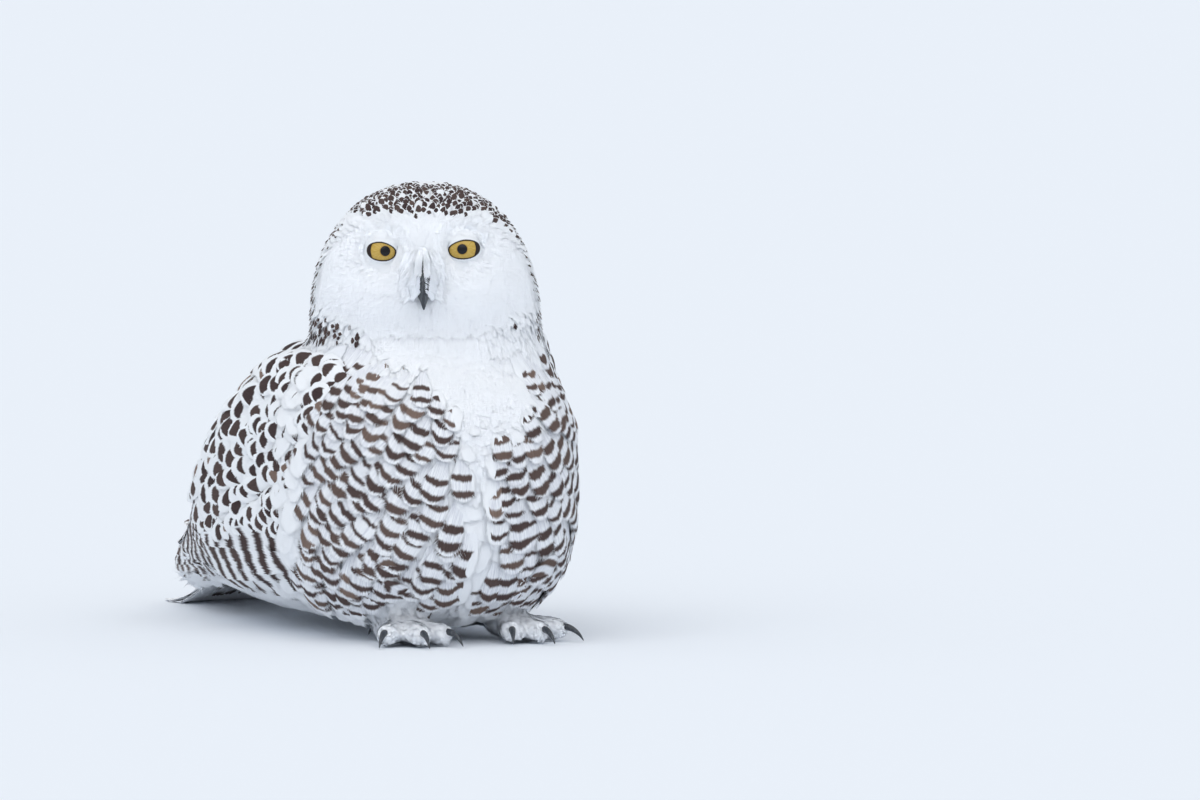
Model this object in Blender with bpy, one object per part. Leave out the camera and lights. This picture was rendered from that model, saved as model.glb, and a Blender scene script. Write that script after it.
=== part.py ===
"""Snowy owl sitting low on level ground, life size, as a still display model.

The bird faces -Y with its body's mirror plane on X = 0; its own right side is -X. The head is turned
to its right. The floor is Z = 0 and the origin is the middle of the bounding box's underside.
Units are metres. Each sub-part is one closed solid, parted from its neighbours by thin cuts.
"""

import math
from dataclasses import dataclass

import bmesh
import bpy
import numpy as np
from mathutils import Matrix, Vector

# Overall form
HEAD_TURN = math.radians(-24.0)  # turn of the face about the upright axis, towards the bird's right
HEAD_TILT = math.radians(-1.4)  # the left eye stands a little higher
GAP = 0.0004  # clearance between neighbouring pieces
BREAST_Y = -0.080  # foremost point of the breast
BREAST_Z = 0.120  # height of that point
TRUNK_END_Y = 0.292  # where the trunk stops, over the root of the tail
SECTION_POWER = 3.0  # squareness of the body's cross-sections
NECK_CUT_Z = 0.206  # parting of trunk and neck
HEAD_CUT_Z = 0.236  # parting of neck and head

# Head, in its own turned frame: forward is towards the bill
HEAD_CENTRE = Vector((-0.0018, 0.041, 0.0))
CROWN_Z = 0.339
RUFF_Z = 0.229  # height at which the head is widest
HEAD_HALF_WIDTH = 0.088
FACE_DEPTH = 0.068
NAPE_DEPTH = 0.082
HEAD_POWER = 2.2
HEAD_POINTS = 42  # points round each level cross-section
FACE_CROWDING = 0.45  # 0 spaces them evenly, more draws them into the face
NECK_FOOT_Z = 0.168
NECK_FLARE = 0.27

# Eyes and bill
EYE_SIDE = 0.0305
EYE_Z = 0.2890
EYE_RADIUS = 0.0135
EYE_FORWARD = 0.0430  # centre of the eyeball, ahead of the head's axis
EYE_HOLLOW_DEPTH = 0.0065
EYE_HOLLOW_RADIUS = 0.0165
BILL_ROOT_Z = 0.277
BILL_TIP_Z = 0.2475
BILL_SINK = 0.010  # how deep its root lies in the face
BILL_REACH = 0.024  # from its root forward to the hook

# Wings
WING_ROOT_Y = 0.034
WING_FRONT_ROUNDING = 0.026  # how far its front edge falls back above and below
WING_TIP_Y = 0.394
WING_THICKNESS = 0.016
WING_EDGE = 0.0030
WING_STAND_OFF = 0.008  # how far the folded wing stands outside the trunk
FEATHER_STEPS = 7  # flight feather tips along the wing's lower edge
FEATHER_STEP_TURN = 0.10  # depth of each step, as an angle round the body
WING_TIP_ANGLE = 0.22  # where round the body the wing ends
WING_TIP_CLOSING = 0.82

# Tail
TAIL_ROOT_Y = 0.235
TAIL_TIP_Y = 0.430
TAIL_ROOT_HALF_WIDTH = 0.030
TAIL_TIP_HALF_WIDTH = 0.055
TAIL_FEATHERS = 12
TAIL_THICKNESS = 0.010
TAIL_EDGE = 0.0026
TAIL_ROOT_Z = 0.058
TAIL_ARCH = 0.010  # how much its middle stands over its sides at the root
TAIL_LEVEL_FROM = 0.88  # share of its length from which it lies on the floor
TAIL_RINGS = (0.0, 0.22, 0.44, 0.66, TAIL_LEVEL_FROM, 1.0)

# Legs and feet
FOOT_SIDE = 0.043
FOOT_Y = -0.012
SHANK_RADIUS = 0.017
SHANK_FOOT_Z = 0.0185
SHANK_TOP_Z = 0.062
TOE_RADIUS = 0.0108
TOE_LENGTH = 0.047
CLAW_LENGTH = 0.021
CLAW_RADIUS = 0.0030
SOLE_Z = 0.0


@dataclass(frozen=True)
class Station:
    """One upright cross-section of the body."""

    y: float
    half_width: float
    widest_z: float
    top: float
    bottom: float


# From the shoulder back to the end of the folded wings
SHOULDER = Station(0.075, 0.113, 0.120, 0.232, 0.008)
BACK = Station(0.140, 0.114, 0.112, 0.207, 0.008)
LOIN = Station(0.200, 0.108, 0.096, 0.170, 0.010)
RUMP = Station(0.260, 0.090, 0.073, 0.122, 0.015)
VENT = Station(0.305, 0.075, 0.052, 0.088, 0.015)
TAIL_COVERTS = Station(0.350, 0.064, 0.038, 0.060, 0.012)
WING_END = Station(0.396, 0.050, 0.026, 0.040, 0.009)
STATIONS = (SHOULDER, BACK, LOIN, RUMP, VENT, TAIL_COVERTS, WING_END)


def clear_scene():
    """Remove whatever the file holds."""
    for obj in list(bpy.data.objects):
        bpy.data.objects.remove(obj, do_unlink=True)


def material(name, colour, roughness, metallic=0.0):
    """A plain Principled material, made once for each name."""
    found = bpy.data.materials.get(name)
    if found:
        return found
    made = bpy.data.materials.new(name)
    made.use_nodes = True
    shader = made.node_tree.nodes["Principled BSDF"]
    shader.inputs["Base Color"].default_value = (*colour, 1.0)
    shader.inputs["Roughness"].default_value = roughness
    shader.inputs["Metallic"].default_value = metallic
    return made


def white_plumage():
    return material("white_plumage", (0.80, 0.84, 0.90), 0.85)


def barred_plumage():
    return material("barred_plumage", (0.55, 0.53, 0.55), 0.8)


def horn():
    return material("black_horn", (0.025, 0.028, 0.035), 0.35)


def iris():
    return material("golden_eye", (0.65, 0.42, 0.06), 0.1)


def add_object(name, mesh, finish):
    """Link a mesh into the scene as a named object with one material."""
    mesh.materials.clear()
    mesh.materials.append(finish)
    obj = bpy.data.objects.new(name, mesh)
    bpy.context.scene.collection.objects.link(obj)
    return obj


def close_end(work, loop, shell):
    """Cap one end. A shell's ring runs along its outside and back, so its cap is a row of strips."""
    if not shell:
        work.faces.new(loop)
        return
    last = len(loop) - 1
    for i in range(len(loop) // 2 - 1):
        work.faces.new((loop[i], loop[i + 1], loop[last - i]))
        work.faces.new((loop[i + 1], loop[last - i - 1], loop[last - i]))


def loft(name, rings, shell=False):
    """Closed mesh through rings of equally many points, with caps at both ends.

    Every strip is split along the same diagonal, so that a piece and its grown cutter match.
    """
    work = bmesh.new()
    loops = [[work.verts.new(point) for point in ring] for ring in rings]
    count = len(loops[0])
    for near, far in zip(loops, loops[1:]):
        for i in range(count):
            j = (i + 1) % count
            work.faces.new((near[i], near[j], far[j]))
            work.faces.new((near[i], far[j], far[i]))
    close_end(work, loops[0], shell)
    close_end(work, loops[-1], shell)
    work.normal_update()
    bmesh.ops.triangulate(work, faces=[f for f in work.faces if len(f.verts) > 4])
    bmesh.ops.recalc_face_normals(work, faces=work.faces)
    mesh = bpy.data.meshes.new(name)
    work.to_mesh(mesh)
    work.free()
    return mesh


def smoothstep(low, high, value):
    """0 below low, 1 above high and a smooth rise between them."""
    share = min(1.0, max(0.0, (value - low) / (high - low)))
    return share * share * (3.0 - 2.0 * share)


def mix(a, b, share):
    return a + (b - a) * share


def power_sweep(angle, power):
    """Cosine and sine of a superellipse's parameter."""
    c, s = math.cos(angle), math.sin(angle)
    return (
        math.copysign(abs(c) ** (2.0 / power), c),
        math.copysign(abs(s) ** (2.0 / power), s),
    )


# Body ---------------------------------------------------------------------------------------------


def through_stations(y):
    """The body's cross-section behind the shoulder, by a smooth curve through the stations."""
    places = [s.y for s in STATIONS]
    i = min(max(int(np.searchsorted(places, y)) - 1, 0), len(STATIONS) - 2)
    t = (y - places[i]) / (places[i + 1] - places[i])
    made = []
    for field in ("half_width", "widest_z", "top", "bottom"):
        values = [getattr(s, field) for s in STATIONS]
        p1, p2 = values[i], values[i + 1]
        span = places[i + 1] - places[i]
        slope1 = 0.0 if i == 0 else (p2 - values[i - 1]) / (places[i + 1] - places[i - 1])
        last = i + 2 >= len(values)
        slope2 = (p2 - p1) / span if last else (values[i + 2] - p1) / (places[i + 2] - places[i])
        rise = 3.0 * (p2 - p1) - (2.0 * slope1 + slope2) * span
        turn = 2.0 * (p1 - p2) + (slope1 + slope2) * span
        made.append(p1 + slope1 * span * t + rise * t * t + turn * t**3)
    return Station(y, *made)


def body_section(y):
    """The body's cross-section at y. Ahead of the shoulder it closes in a full rounded breast."""
    if y >= SHOULDER.y:
        return through_stations(y)
    share = (SHOULDER.y - y) / (SHOULDER.y - BREAST_Y)
    side = max(0.0, 1.0 - share**2.6) ** (1 / 2.2)
    above = max(0.0, 1.0 - share**2.6) ** (1 / 2.3)
    below = max(0.0, 1.0 - share**3.0) ** (1 / 3.0)
    return Station(
        y,
        SHOULDER.half_width * side,
        BREAST_Z,
        mix(BREAST_Z, SHOULDER.top, above),
        mix(BREAST_Z, SHOULDER.bottom, below),
    )


def envelope_point(section, angle, stand_off=0.0):
    """A point on a cross-section, at an angle from the bird's left side, up to its back."""
    c, s = power_sweep(angle, SECTION_POWER)
    height = section.top - section.widest_z if s > 0 else section.widest_z - section.bottom
    return (section.half_width + stand_off) * c, section.widest_z + (height + stand_off * max(s, 0)) * s


def trunk_rings():
    """Cross-sections of the trunk from the breast to over the tail's root."""
    steps, count = 34, 44
    rings = []
    for k in range(steps + 1):
        share = k / steps
        y = mix(BREAST_Y, TRUNK_END_Y, 1.0 - math.cos(share * math.pi / 2) if share < 1 else 1.0)
        y = max(y, BREAST_Y + 0.0008)
        section = body_section(y)
        inset = 0.020 * smoothstep(0.255, TRUNK_END_Y, y)
        ring = []
        for i in range(count):
            x, z = envelope_point(section, 2 * math.pi * i / count)
            pull = 1.0 - inset / max(section.half_width, 0.02)
            ring.append((x * pull, y, section.widest_z + (z - section.widest_z) * pull))
        rings.append(ring)
    return rings


# Head ---------------------------------------------------------------------------------------------


def head_matrix():
    """Places the head's own frame, which looks along -Y, in the bird."""
    pivot = Matrix.Translation((0.0, 0.0, EYE_Z))
    tilt = pivot @ Matrix.Rotation(HEAD_TILT, 4, "Y") @ pivot.inverted()
    return Matrix.Translation(HEAD_CENTRE) @ Matrix.Rotation(HEAD_TURN, 4, "Z") @ tilt


def face_relief(side, z, forward_share):
    """How far the face stands in front of the plain head: eye hollows, brows and the bill's ridge."""
    front = smoothstep(0.55, 0.9, forward_share)
    relief = 0.0
    for centre in (-EYE_SIDE, EYE_SIDE):
        from_eye = math.hypot(side - centre, 1.15 * (z - EYE_Z)) / EYE_HOLLOW_RADIUS
        relief -= EYE_HOLLOW_DEPTH * math.exp(-(from_eye**3))
        over = math.hypot((side - centre) / 1.6, z - EYE_Z - 0.021) / 0.012
        relief += 0.0022 * math.exp(-(over**2))
    ridge = math.exp(-((side / 0.013) ** 2)) * smoothstep(0.235, 0.262, z)
    ridge *= 1.0 - smoothstep(0.285, 0.315, z)
    cheek = math.exp(-(((abs(side) - 0.045) / 0.022) ** 2) - ((z - 0.252) / 0.02) ** 2)
    return front * (relief + 0.0045 * ridge + 0.002 * cheek)


def head_angles(count):
    """Angles round the head: even round the back when coarse, close together across the face."""
    for i in range(count):
        turn = 2 * math.pi * i / count
        yield turn + FACE_CROWDING * math.cos(turn)


def head_ring(z, count=HEAD_POINTS):
    """One level cross-section of the head and neck, before the turn."""
    rise = max(0.0, (z - RUFF_Z) / (CROWN_Z - RUFF_Z))
    scale = max(0.0, 1.0 - rise**HEAD_POWER) ** (1 / HEAD_POWER)
    below = max(0.0, RUFF_Z - z)
    width = HEAD_HALF_WIDTH * scale + NECK_FLARE * below
    ring = []
    for angle in head_angles(count):
        c, s = power_sweep(angle, 2.35)
        depth = (FACE_DEPTH if s < 0 else NAPE_DEPTH) * scale + NECK_FLARE * below
        x, y = width * c, depth * s
        ring.append((x, y - face_relief(x, z, -s), z))
    return ring


def head_rings(foot_z, steps):
    """Level cross-sections from foot_z to the crown, closer together towards the crown."""
    rings = []
    for k in range(steps + 1):
        share = math.sin(0.5 * math.pi * k / steps)
        z = mix(foot_z, CROWN_Z, share)
        rings.append([head_matrix() @ Vector(p) for p in head_ring(min(z, CROWN_Z - 0.0003))])
    return rings


def head_place(side, forward, z):
    """A point in the turned head, from its distance to the side, ahead of the axis and height."""
    return head_matrix() @ Vector((side, -forward, z))


# Whole flesh, then parted -------------------------------------------------------------------------


def apply_modifiers(obj):
    """Replace the object's mesh by what its modifiers make of it."""
    graph = bpy.context.evaluated_depsgraph_get()
    mesh = bpy.data.meshes.new_from_object(obj.evaluated_get(graph))
    obj.modifiers.clear()
    old, obj.data = obj.data, mesh
    bpy.data.meshes.remove(old)


def boolean(obj, other, operation):
    """Apply one exact Boolean and remove the other object."""
    step = obj.modifiers.new("boolean", "BOOLEAN")
    step.operation = operation
    step.solver = "EXACT"
    step.object = other
    bpy.context.view_layer.update()
    apply_modifiers(obj)
    bpy.data.objects.remove(other, do_unlink=True)


def whole_flesh():
    """Trunk and neck as one smooth body."""
    body = add_object("flesh", loft("flesh", trunk_rings()), white_plumage())
    above = add_object("head_form", loft("head_form", head_rings(NECK_FOOT_Z, 30)), white_plumage())
    boolean(body, above, "UNION")
    fuse = body.modifiers.new("fuse", "REMESH")
    fuse.mode = "VOXEL"
    fuse.voxel_size = 0.0042
    ease = body.modifiers.new("ease", "SMOOTH")
    ease.factor = 0.5
    ease.iterations = 5
    thin = body.modifiers.new("thin", "DECIMATE")
    thin.ratio = 0.034
    apply_modifiers(body)
    return body


def slab(source, name, low, high):
    """Copy of a mesh between two level planes, closed where it is cut."""
    work = bmesh.new()
    work.from_mesh(source.data)
    for height, clear_above in ((low, False), (high, True)):
        if height is None:
            continue
        parts = work.verts[:] + work.edges[:] + work.faces[:]
        bmesh.ops.bisect_plane(
            work,
            geom=parts,
            plane_co=(0, 0, height),
            plane_no=(0, 0, 1),
            clear_outer=clear_above,
            clear_inner=not clear_above,
        )
        open_edges = [e for e in work.edges if e.is_boundary]
        filled = bmesh.ops.contextual_create(work, geom=open_edges)
        work.normal_update()
        bmesh.ops.triangulate(work, faces=filled["faces"])
    bmesh.ops.recalc_face_normals(work, faces=work.faces)
    mesh = bpy.data.meshes.new(name)
    work.to_mesh(mesh)
    work.free()
    return add_object(name, mesh, white_plumage())


# Wings and tail -----------------------------------------------------------------------------------


def wing_stand_off(y, share):
    """How far the folded wing's outside stands out of the plain body, most in mid wing."""
    along = smoothstep(WING_ROOT_Y, 0.13, y) * (1.0 - 0.5 * smoothstep(0.25, WING_TIP_Y, y))
    return 0.5 * WING_EDGE + WING_STAND_OFF * along * math.sin(math.pi * share) ** 0.7


def wing_inner_x(y):
    """How near its upper edge comes to the bird's mirror plane."""
    forward = mix(0.068, 0.022, smoothstep(WING_ROOT_Y, 0.15, y))
    return mix(forward, 0.0035, smoothstep(0.13, 0.27, y))


def wing_edges(y, grow):
    """Angles of the wing's lower and upper edge round the body's cross-section.

    The lower edge is stepped by the tips of the flight feathers, and both close in to the wing tip.
    """
    section = body_section(y)
    along = min(1.0, max(0.0, (y - WING_ROOT_Y) / (WING_TIP_Y - WING_ROOT_Y)))
    reach = max(0.0, wing_inner_x(y)) / section.half_width
    upper = math.acos(min(1.0, reach) ** (SECTION_POWER / 2))
    step = (along * FEATHER_STEPS) % 1.0
    lower = -mix(0.60, 0.92, smoothstep(0.0, 0.30, along)) + FEATHER_STEP_TURN * step * along
    closing = WING_TIP_CLOSING * smoothstep(0.78, 1.0, along) ** 1.4
    margin = 1.6 * grow / (section.top - section.bottom) * 2
    return (
        mix(lower, WING_TIP_ANGLE, closing) - margin,
        mix(upper, WING_TIP_ANGLE, closing) + margin,
    )


def wing_rings(grow=0.0):
    """Crescent bands of the left folded wing, from its rounded front edge to its tip."""
    steps, half = 16, 7
    rings = []
    for k in range(steps + 1):
        along = k / steps
        ends = smoothstep(-0.02, 0.10, along) * (1.0 - 0.75 * smoothstep(0.62, 1.0, along))
        outer, inner = [], []
        for i in range(half + 1):
            share = i / half
            front = WING_ROOT_Y + WING_FRONT_ROUNDING * abs(2.0 * share - 1.0) ** 2.5
            y = mix(front - grow, WING_TIP_Y + grow, along)
            section = body_section(y)
            centre = Vector((0.0, section.widest_z))
            lower, upper = wing_edges(y, grow)
            x, z = envelope_point(section, mix(lower, upper, share))
            ray = Vector((x, z)) - centre
            span = ray.length
            ray.normalize()
            belly = math.sin(math.pi * share) ** 0.7
            out = wing_stand_off(y, share)
            thick = WING_EDGE + (WING_THICKNESS - WING_EDGE) * belly * ends
            far = centre + ray * (span + out + grow)
            near = centre + ray * (span + out - thick - grow)
            outer.append((far.x, y, far.y))
            inner.append((near.x, y, near.y))
        rings.append(outer + inner[::-1])
    return rings


def mirrored(rings):
    """The same rings on the bird's other side."""
    return [[(-x, y, z) for x, y, z in reversed(ring)] for ring in rings]


def tail_rings(grow=0.0):
    """Flat cross-sections of the fanned tail. Its end is rounded by its feathers and lies level."""
    half = 24
    rings = []
    for along in TAIL_RINGS:
        width = mix(TAIL_ROOT_HALF_WIDTH, TAIL_TIP_HALF_WIDTH, along**0.8)
        thick = mix(TAIL_THICKNESS, TAIL_EDGE, smoothstep(0.0, 0.85, along))
        above_floor = max(0.0, 1.0 - along / TAIL_LEVEL_FROM)
        lower, upper = [], []
        for i in range(half + 1):
            across = mix(-1.0, 1.0, i / half)
            scallop = abs(math.sin(0.5 * math.pi * TAIL_FEATHERS * (across + 1.0)))
            reach = 1.0 - 0.09 * across**2 - 0.020 * (1.0 - scallop)
            y = mix(TAIL_ROOT_Y, TAIL_TIP_Y, along * reach) + grow * (2 * along - 1)
            arch = TAIL_ARCH * (1.0 - across**2)
            floor = (TAIL_ROOT_Z + arch) * above_floor
            edge = 1.0 - 0.55 * abs(across) ** 4
            x = across * (width + grow)
            lower.append((x, y, floor - min(grow, floor)))
            upper.append((x, y, floor + thick * edge + grow))
        rings.append(lower + upper[::-1])
    return rings


def plate(name, rings):
    """A wing, a tail or a slightly larger copy of one that parts its neighbour from it."""
    return add_object(name, loft(name, rings, shell=True), barred_plumage())


# Legs, claws, eyes and bill -----------------------------------------------------------------------


def tube_rings(points, radii, count=12, squash=1.0):
    """Round rings across a path, each flattened up and down by squash."""
    rings = []
    for i, (point, radius) in enumerate(zip(points, radii)):
        ahead = Vector(points[min(i + 1, len(points) - 1)]) - Vector(points[max(i - 1, 0)])
        side = ahead.cross(Vector((0, 0, 1)))
        if side.length < 1e-6:
            side = Vector((1, 0, 0))
        side.normalize()
        up = side.cross(ahead).normalized()
        ring = []
        for j in range(count):
            angle = 2 * math.pi * j / count
            ring.append(
                Vector(point) + side * radius * math.cos(angle) + up * radius * squash * math.sin(angle)
            )
        rings.append(ring)
    return rings


def capsule(name, start, end, start_radius, end_radius, finish, steps=3):
    """A rounded, tapering limb segment."""
    start, end = Vector(start), Vector(end)
    axis = (end - start).normalized()
    points, radii = [], []
    for k in range(steps):
        turn = 0.5 * math.pi * (k + 0.35) / steps
        points.append(start - axis * start_radius * math.cos(turn))
        radii.append(start_radius * math.sin(turn))
    for k in range(steps):
        turn = 0.5 * math.pi * (steps - k - 0.65) / steps
        points.append(end + axis * end_radius * math.cos(turn))
        radii.append(end_radius * math.sin(turn))
    return add_object(name, loft(name, tube_rings(points, radii, 9)), finish)


@dataclass(frozen=True)
class Toe:
    """One toe: its name, its turn from straight ahead towards the outside and its length."""

    name: str
    turn_deg: float
    length: float


TOES = (
    Toe("inner", -20.0, 0.92 * TOE_LENGTH),
    Toe("middle", 6.0, TOE_LENGTH),
    Toe("outer", 38.0, 0.86 * TOE_LENGTH),
    Toe("hind", 172.0, 0.55 * TOE_LENGTH),
)


def toe_direction(toe, hand):
    """Unit vector along a toe; hand is 1 on the bird's left and -1 on its right."""
    turn = math.radians(toe.turn_deg)
    return Vector((hand * math.sin(turn), -math.cos(turn), 0.0))


def toe_end(toe, hand):
    """Centre of a toe's rounded tip."""
    start = Vector((hand * FOOT_SIDE, FOOT_Y, TOE_RADIUS * 0.86))
    return start + toe_direction(toe, hand) * toe.length


def sole_cut(obj):
    """Slice off what is under the floor, which leaves small flats to stand on."""
    work = bmesh.new()
    work.from_mesh(obj.data)
    parts = work.verts[:] + work.edges[:] + work.faces[:]
    bmesh.ops.bisect_plane(
        work, geom=parts, plane_co=(0, 0, SOLE_Z), plane_no=(0, 0, 1), clear_inner=True
    )
    open_edges = [e for e in work.edges if e.is_boundary]
    bmesh.ops.edgeloop_fill(work, edges=open_edges)
    work.normal_update()
    bmesh.ops.triangulate(work, faces=[f for f in work.faces if len(f.verts) > 4])
    bmesh.ops.recalc_face_normals(work, faces=work.faces)
    work.to_mesh(obj.data)
    work.free()


def foot(side, hand, grow=0.0):
    """A feathered foot: the pad and its four toes as one solid with a flat sole."""
    pad = (hand * FOOT_SIDE, FOOT_Y, TOE_RADIUS * 1.15)
    radius = TOE_RADIUS + grow
    body = capsule(
        f"foot_{side}", pad, (pad[0], pad[1] + 0.014, pad[2]), radius * 1.35, radius * 1.3, white_plumage()
    )
    for toe in TOES:
        start = (pad[0], pad[1], TOE_RADIUS * 1.05)
        limb = capsule("toe", start, toe_end(toe, hand), radius * 1.12, radius * 0.94, white_plumage())
        boolean(body, limb, "UNION")
    sole_cut(body)
    return body


def shank(side, hand, grow=0.0):
    """The feathered shank between the foot and the belly."""
    foot_top = Vector((hand * FOOT_SIDE, FOOT_Y + 0.006, SHANK_FOOT_Z - grow))
    knee = Vector((hand * (FOOT_SIDE + 0.004), FOOT_Y + 0.030, SHANK_TOP_Z + grow))
    points = [foot_top.lerp(knee, share) for share in (0.0, 0.25, 0.5, 0.75, 1.0)]
    radii = [(SHANK_RADIUS + grow) * swell for swell in (0.66, 0.86, 1.0, 1.1, 1.15)]
    return add_object(f"leg_{side}", loft(f"leg_{side}", tube_rings(points, radii, 16)), white_plumage())


def claw(side, hand, toe, grow=0.0):
    """A curved claw that leaves the toe's tip and bends down to just over the floor."""
    ahead = toe_direction(toe, hand)
    root = toe_end(toe, hand) + ahead * (TOE_RADIUS * 0.55 - grow) + Vector((0, 0, 0.0022))
    size = CLAW_LENGTH * (0.85 if toe.name == "hind" else 1.0)
    points, radii = [], []
    steps = 6
    for k in range(steps + 1):
        share = k / steps
        turn = 1.05 * share
        reach = size * (math.sin(turn) / 1.05)
        drop = size * (1.0 - math.cos(turn)) / 1.05
        points.append(root + ahead * reach - Vector((0, 0, min(drop, root.z - 0.0012))))
        radii.append(max(0.0004, (CLAW_RADIUS + grow) * (1.0 - share**1.4) ** 0.8) + 0.1 * grow)
    name = f"claw_{toe.name}_{side}"
    return add_object(name, loft(name, tube_rings(points, radii, 8)), horn())


def eyeball(side, hand, grow=0.0):
    """One eye as a ball that sits in the face's hollow."""
    work = bmesh.new()
    bmesh.ops.create_uvsphere(work, u_segments=14, v_segments=8, radius=EYE_RADIUS + grow)
    mesh = bpy.data.meshes.new(f"eye_{side}")
    work.to_mesh(mesh)
    work.free()
    obj = add_object(f"eye_{side}", mesh, iris())
    centre = head_place(hand * EYE_SIDE, EYE_FORWARD, EYE_Z)
    mesh.transform(Matrix.Translation(centre) @ Matrix.Rotation(HEAD_TURN, 4, "Z"))
    return obj


def bill_path(share, drop, reach):
    """The hooked line of the bill: forwards at first, then down to the tip."""
    turn = share * 1.75
    forward = FACE_DEPTH - BILL_SINK + reach * math.sin(turn)
    z = BILL_ROOT_Z - drop * (1.0 - math.cos(turn)) / (1.0 - math.cos(1.75))
    return forward, z


def bill_rings(lower, grow=0.0):
    """Cross-sections of the upper bill, or of the shorter lower one tucked under it."""
    steps, count = (5, 8) if lower else (9, 12)
    rings = []
    for k in range(steps + 1):
        share = k / steps
        if lower:
            forward = FACE_DEPTH - 0.004 + 0.0145 * share
            z = BILL_ROOT_Z - 0.0180 - 0.0085 * share
            width, height = mix(0.0058, 0.0016, share), mix(0.0038, 0.0013, share)
            tilt = 0.55
        else:
            forward, z = bill_path(share, BILL_ROOT_Z - BILL_TIP_Z, BILL_REACH)
            taper = (1.0 - share**1.7) ** 0.75
            width, height = 0.0066 * taper + 0.0005, 0.0082 * taper + 0.0005
            tilt = 1.75 * share
        along = Vector((0.0, -math.cos(tilt), -math.sin(tilt)))
        up = Vector((0.0, -math.sin(tilt), math.cos(tilt)))
        ring = []
        for i in range(count):
            angle = 2 * math.pi * i / count
            c, s = power_sweep(angle, 1.8)
            at = Vector((c * (width + grow), -forward, z)) + up * s * (height + grow)
            ring.append(head_matrix() @ (at + along * grow * (2 * share - 1)))
        rings.append(ring)
    return rings


def bill(name, lower, grow=0.0):
    return add_object(name, loft(name, bill_rings(lower, grow)), horn())


# Assembly -----------------------------------------------------------------------------------------


def build_flesh():
    """Trunk, neck and head, parted by two level cuts."""
    flesh = whole_flesh()
    trunk = slab(flesh, "trunk", None, NECK_CUT_Z)
    neck = slab(flesh, "neck", NECK_CUT_Z + GAP, HEAD_CUT_Z)
    bpy.data.objects.remove(flesh, do_unlink=True)
    form = add_object("head_form", loft("head_form", head_rings(HEAD_CUT_Z - 0.01, 15)), white_plumage())
    head = slab(form, "head", HEAD_CUT_Z + GAP, None)
    bpy.data.objects.remove(form, do_unlink=True)
    return trunk, neck, head


def islands(work):
    """Groups of faces that hang together."""
    left = set(work.faces)
    while left:
        group, border = set(), [left.pop()]
        while border:
            face = border.pop()
            group.add(face)
            touching = {f for e in face.edges for f in e.link_faces} & left
            left -= touching
            border.extend(touching)
        yield group


def tidy_facets(obj):
    """Drop crumbs left by the cuts, and join facets that lie in nearly the same plane."""
    work = bmesh.new()
    work.from_mesh(obj.data)
    groups = sorted(islands(work), key=len)
    crumbs = [face for group in groups[:-1] for face in group]
    bmesh.ops.delete(work, geom=crumbs, context="FACES")
    bmesh.ops.dissolve_degenerate(work, edges=work.edges, dist=1e-5)
    bmesh.ops.dissolve_limit(
        work, angle_limit=math.radians(0.8), verts=work.verts, edges=work.edges
    )
    work.normal_update()
    bmesh.ops.triangulate(work, faces=work.faces)
    work.to_mesh(obj.data)
    work.free()


def build_wings_and_tail(trunk, neck):
    """The folded wings and the tail, and the room that the trunk and neck leave for them."""
    for side, turn in (("left", lambda rings: rings), ("right", mirrored)):
        plate(f"wing_{side}", turn(wing_rings()))
        boolean(trunk, plate("wing_cut", turn(wing_rings(GAP))), "DIFFERENCE")
        boolean(neck, plate("wing_cut", turn(wing_rings(GAP))), "DIFFERENCE")
    plate("tail", tail_rings())
    boolean(trunk, plate("tail_cut", tail_rings(GAP)), "DIFFERENCE")


def build_legs(trunk):
    """Feet, shanks and claws on both sides."""
    for side, hand in (("left", 1), ("right", -1)):
        made_foot = foot(side, hand)
        shank(side, hand)
        boolean(made_foot, shank("cut", hand, GAP), "DIFFERENCE")
        boolean(trunk, shank("cut", hand, GAP), "DIFFERENCE")
        boolean(trunk, foot("cut", hand, GAP), "DIFFERENCE")
        for toe in TOES:
            claw(side, hand, toe)
            boolean(made_foot, claw("cut", hand, toe, GAP), "DIFFERENCE")
            if toe.name == "hind":
                boolean(trunk, claw("cut", hand, toe, GAP), "DIFFERENCE")


def build_face(head):
    """Eyes and bill, and the sockets that the head leaves for them."""
    for side, hand in (("left", 1), ("right", -1)):
        eyeball(side, hand)
        boolean(head, eyeball("cut", hand, GAP), "DIFFERENCE")
    upper = bill("bill_upper", False)
    bill("bill_lower", True)
    boolean(upper, bill("cut", True, GAP), "DIFFERENCE")
    boolean(head, bill("cut", True, GAP), "DIFFERENCE")
    boolean(head, bill("cut", False, GAP), "DIFFERENCE")


def set_on_origin():
    """Move the bird so that the middle of its bounding box's underside is the origin."""
    corners = [obj.matrix_world @ Vector(c) for obj in bpy.data.objects for c in obj.bound_box]
    low = Vector(min(c[i] for c in corners) for i in range(3))
    high = Vector(max(c[i] for c in corners) for i in range(3))
    shift = Vector((-(low.x + high.x) / 2, -(low.y + high.y) / 2, -low.z))
    for obj in bpy.data.objects:
        obj.data.transform(Matrix.Translation(shift))


def shade():
    """Smooth shading with creases only at real edges."""
    for obj in bpy.data.objects:
        obj.data.shade_smooth()
        obj.data.set_sharp_from_angle(angle=math.radians(50))


def main():
    clear_scene()
    trunk, neck, head = build_flesh()
    build_wings_and_tail(trunk, neck)
    build_legs(trunk)
    build_face(head)
    for obj in list(bpy.data.objects):
        tidy_facets(obj)
    bpy.context.view_layer.update()
    set_on_origin()
    shade()


main()
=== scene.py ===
"""Snowy owl, life size: the skin, plumage, eyes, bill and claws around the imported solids.

The owl faces -Y, its own left is +X and the floor is Z = 0. Units are metres. Every place is worked
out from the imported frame, and every feather is a mesh of barbs that follows the lie of the plumage.
"""

import logging
import math
from dataclasses import dataclass, fields, replace
from enum import IntEnum
from typing import Callable, Iterator

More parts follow.
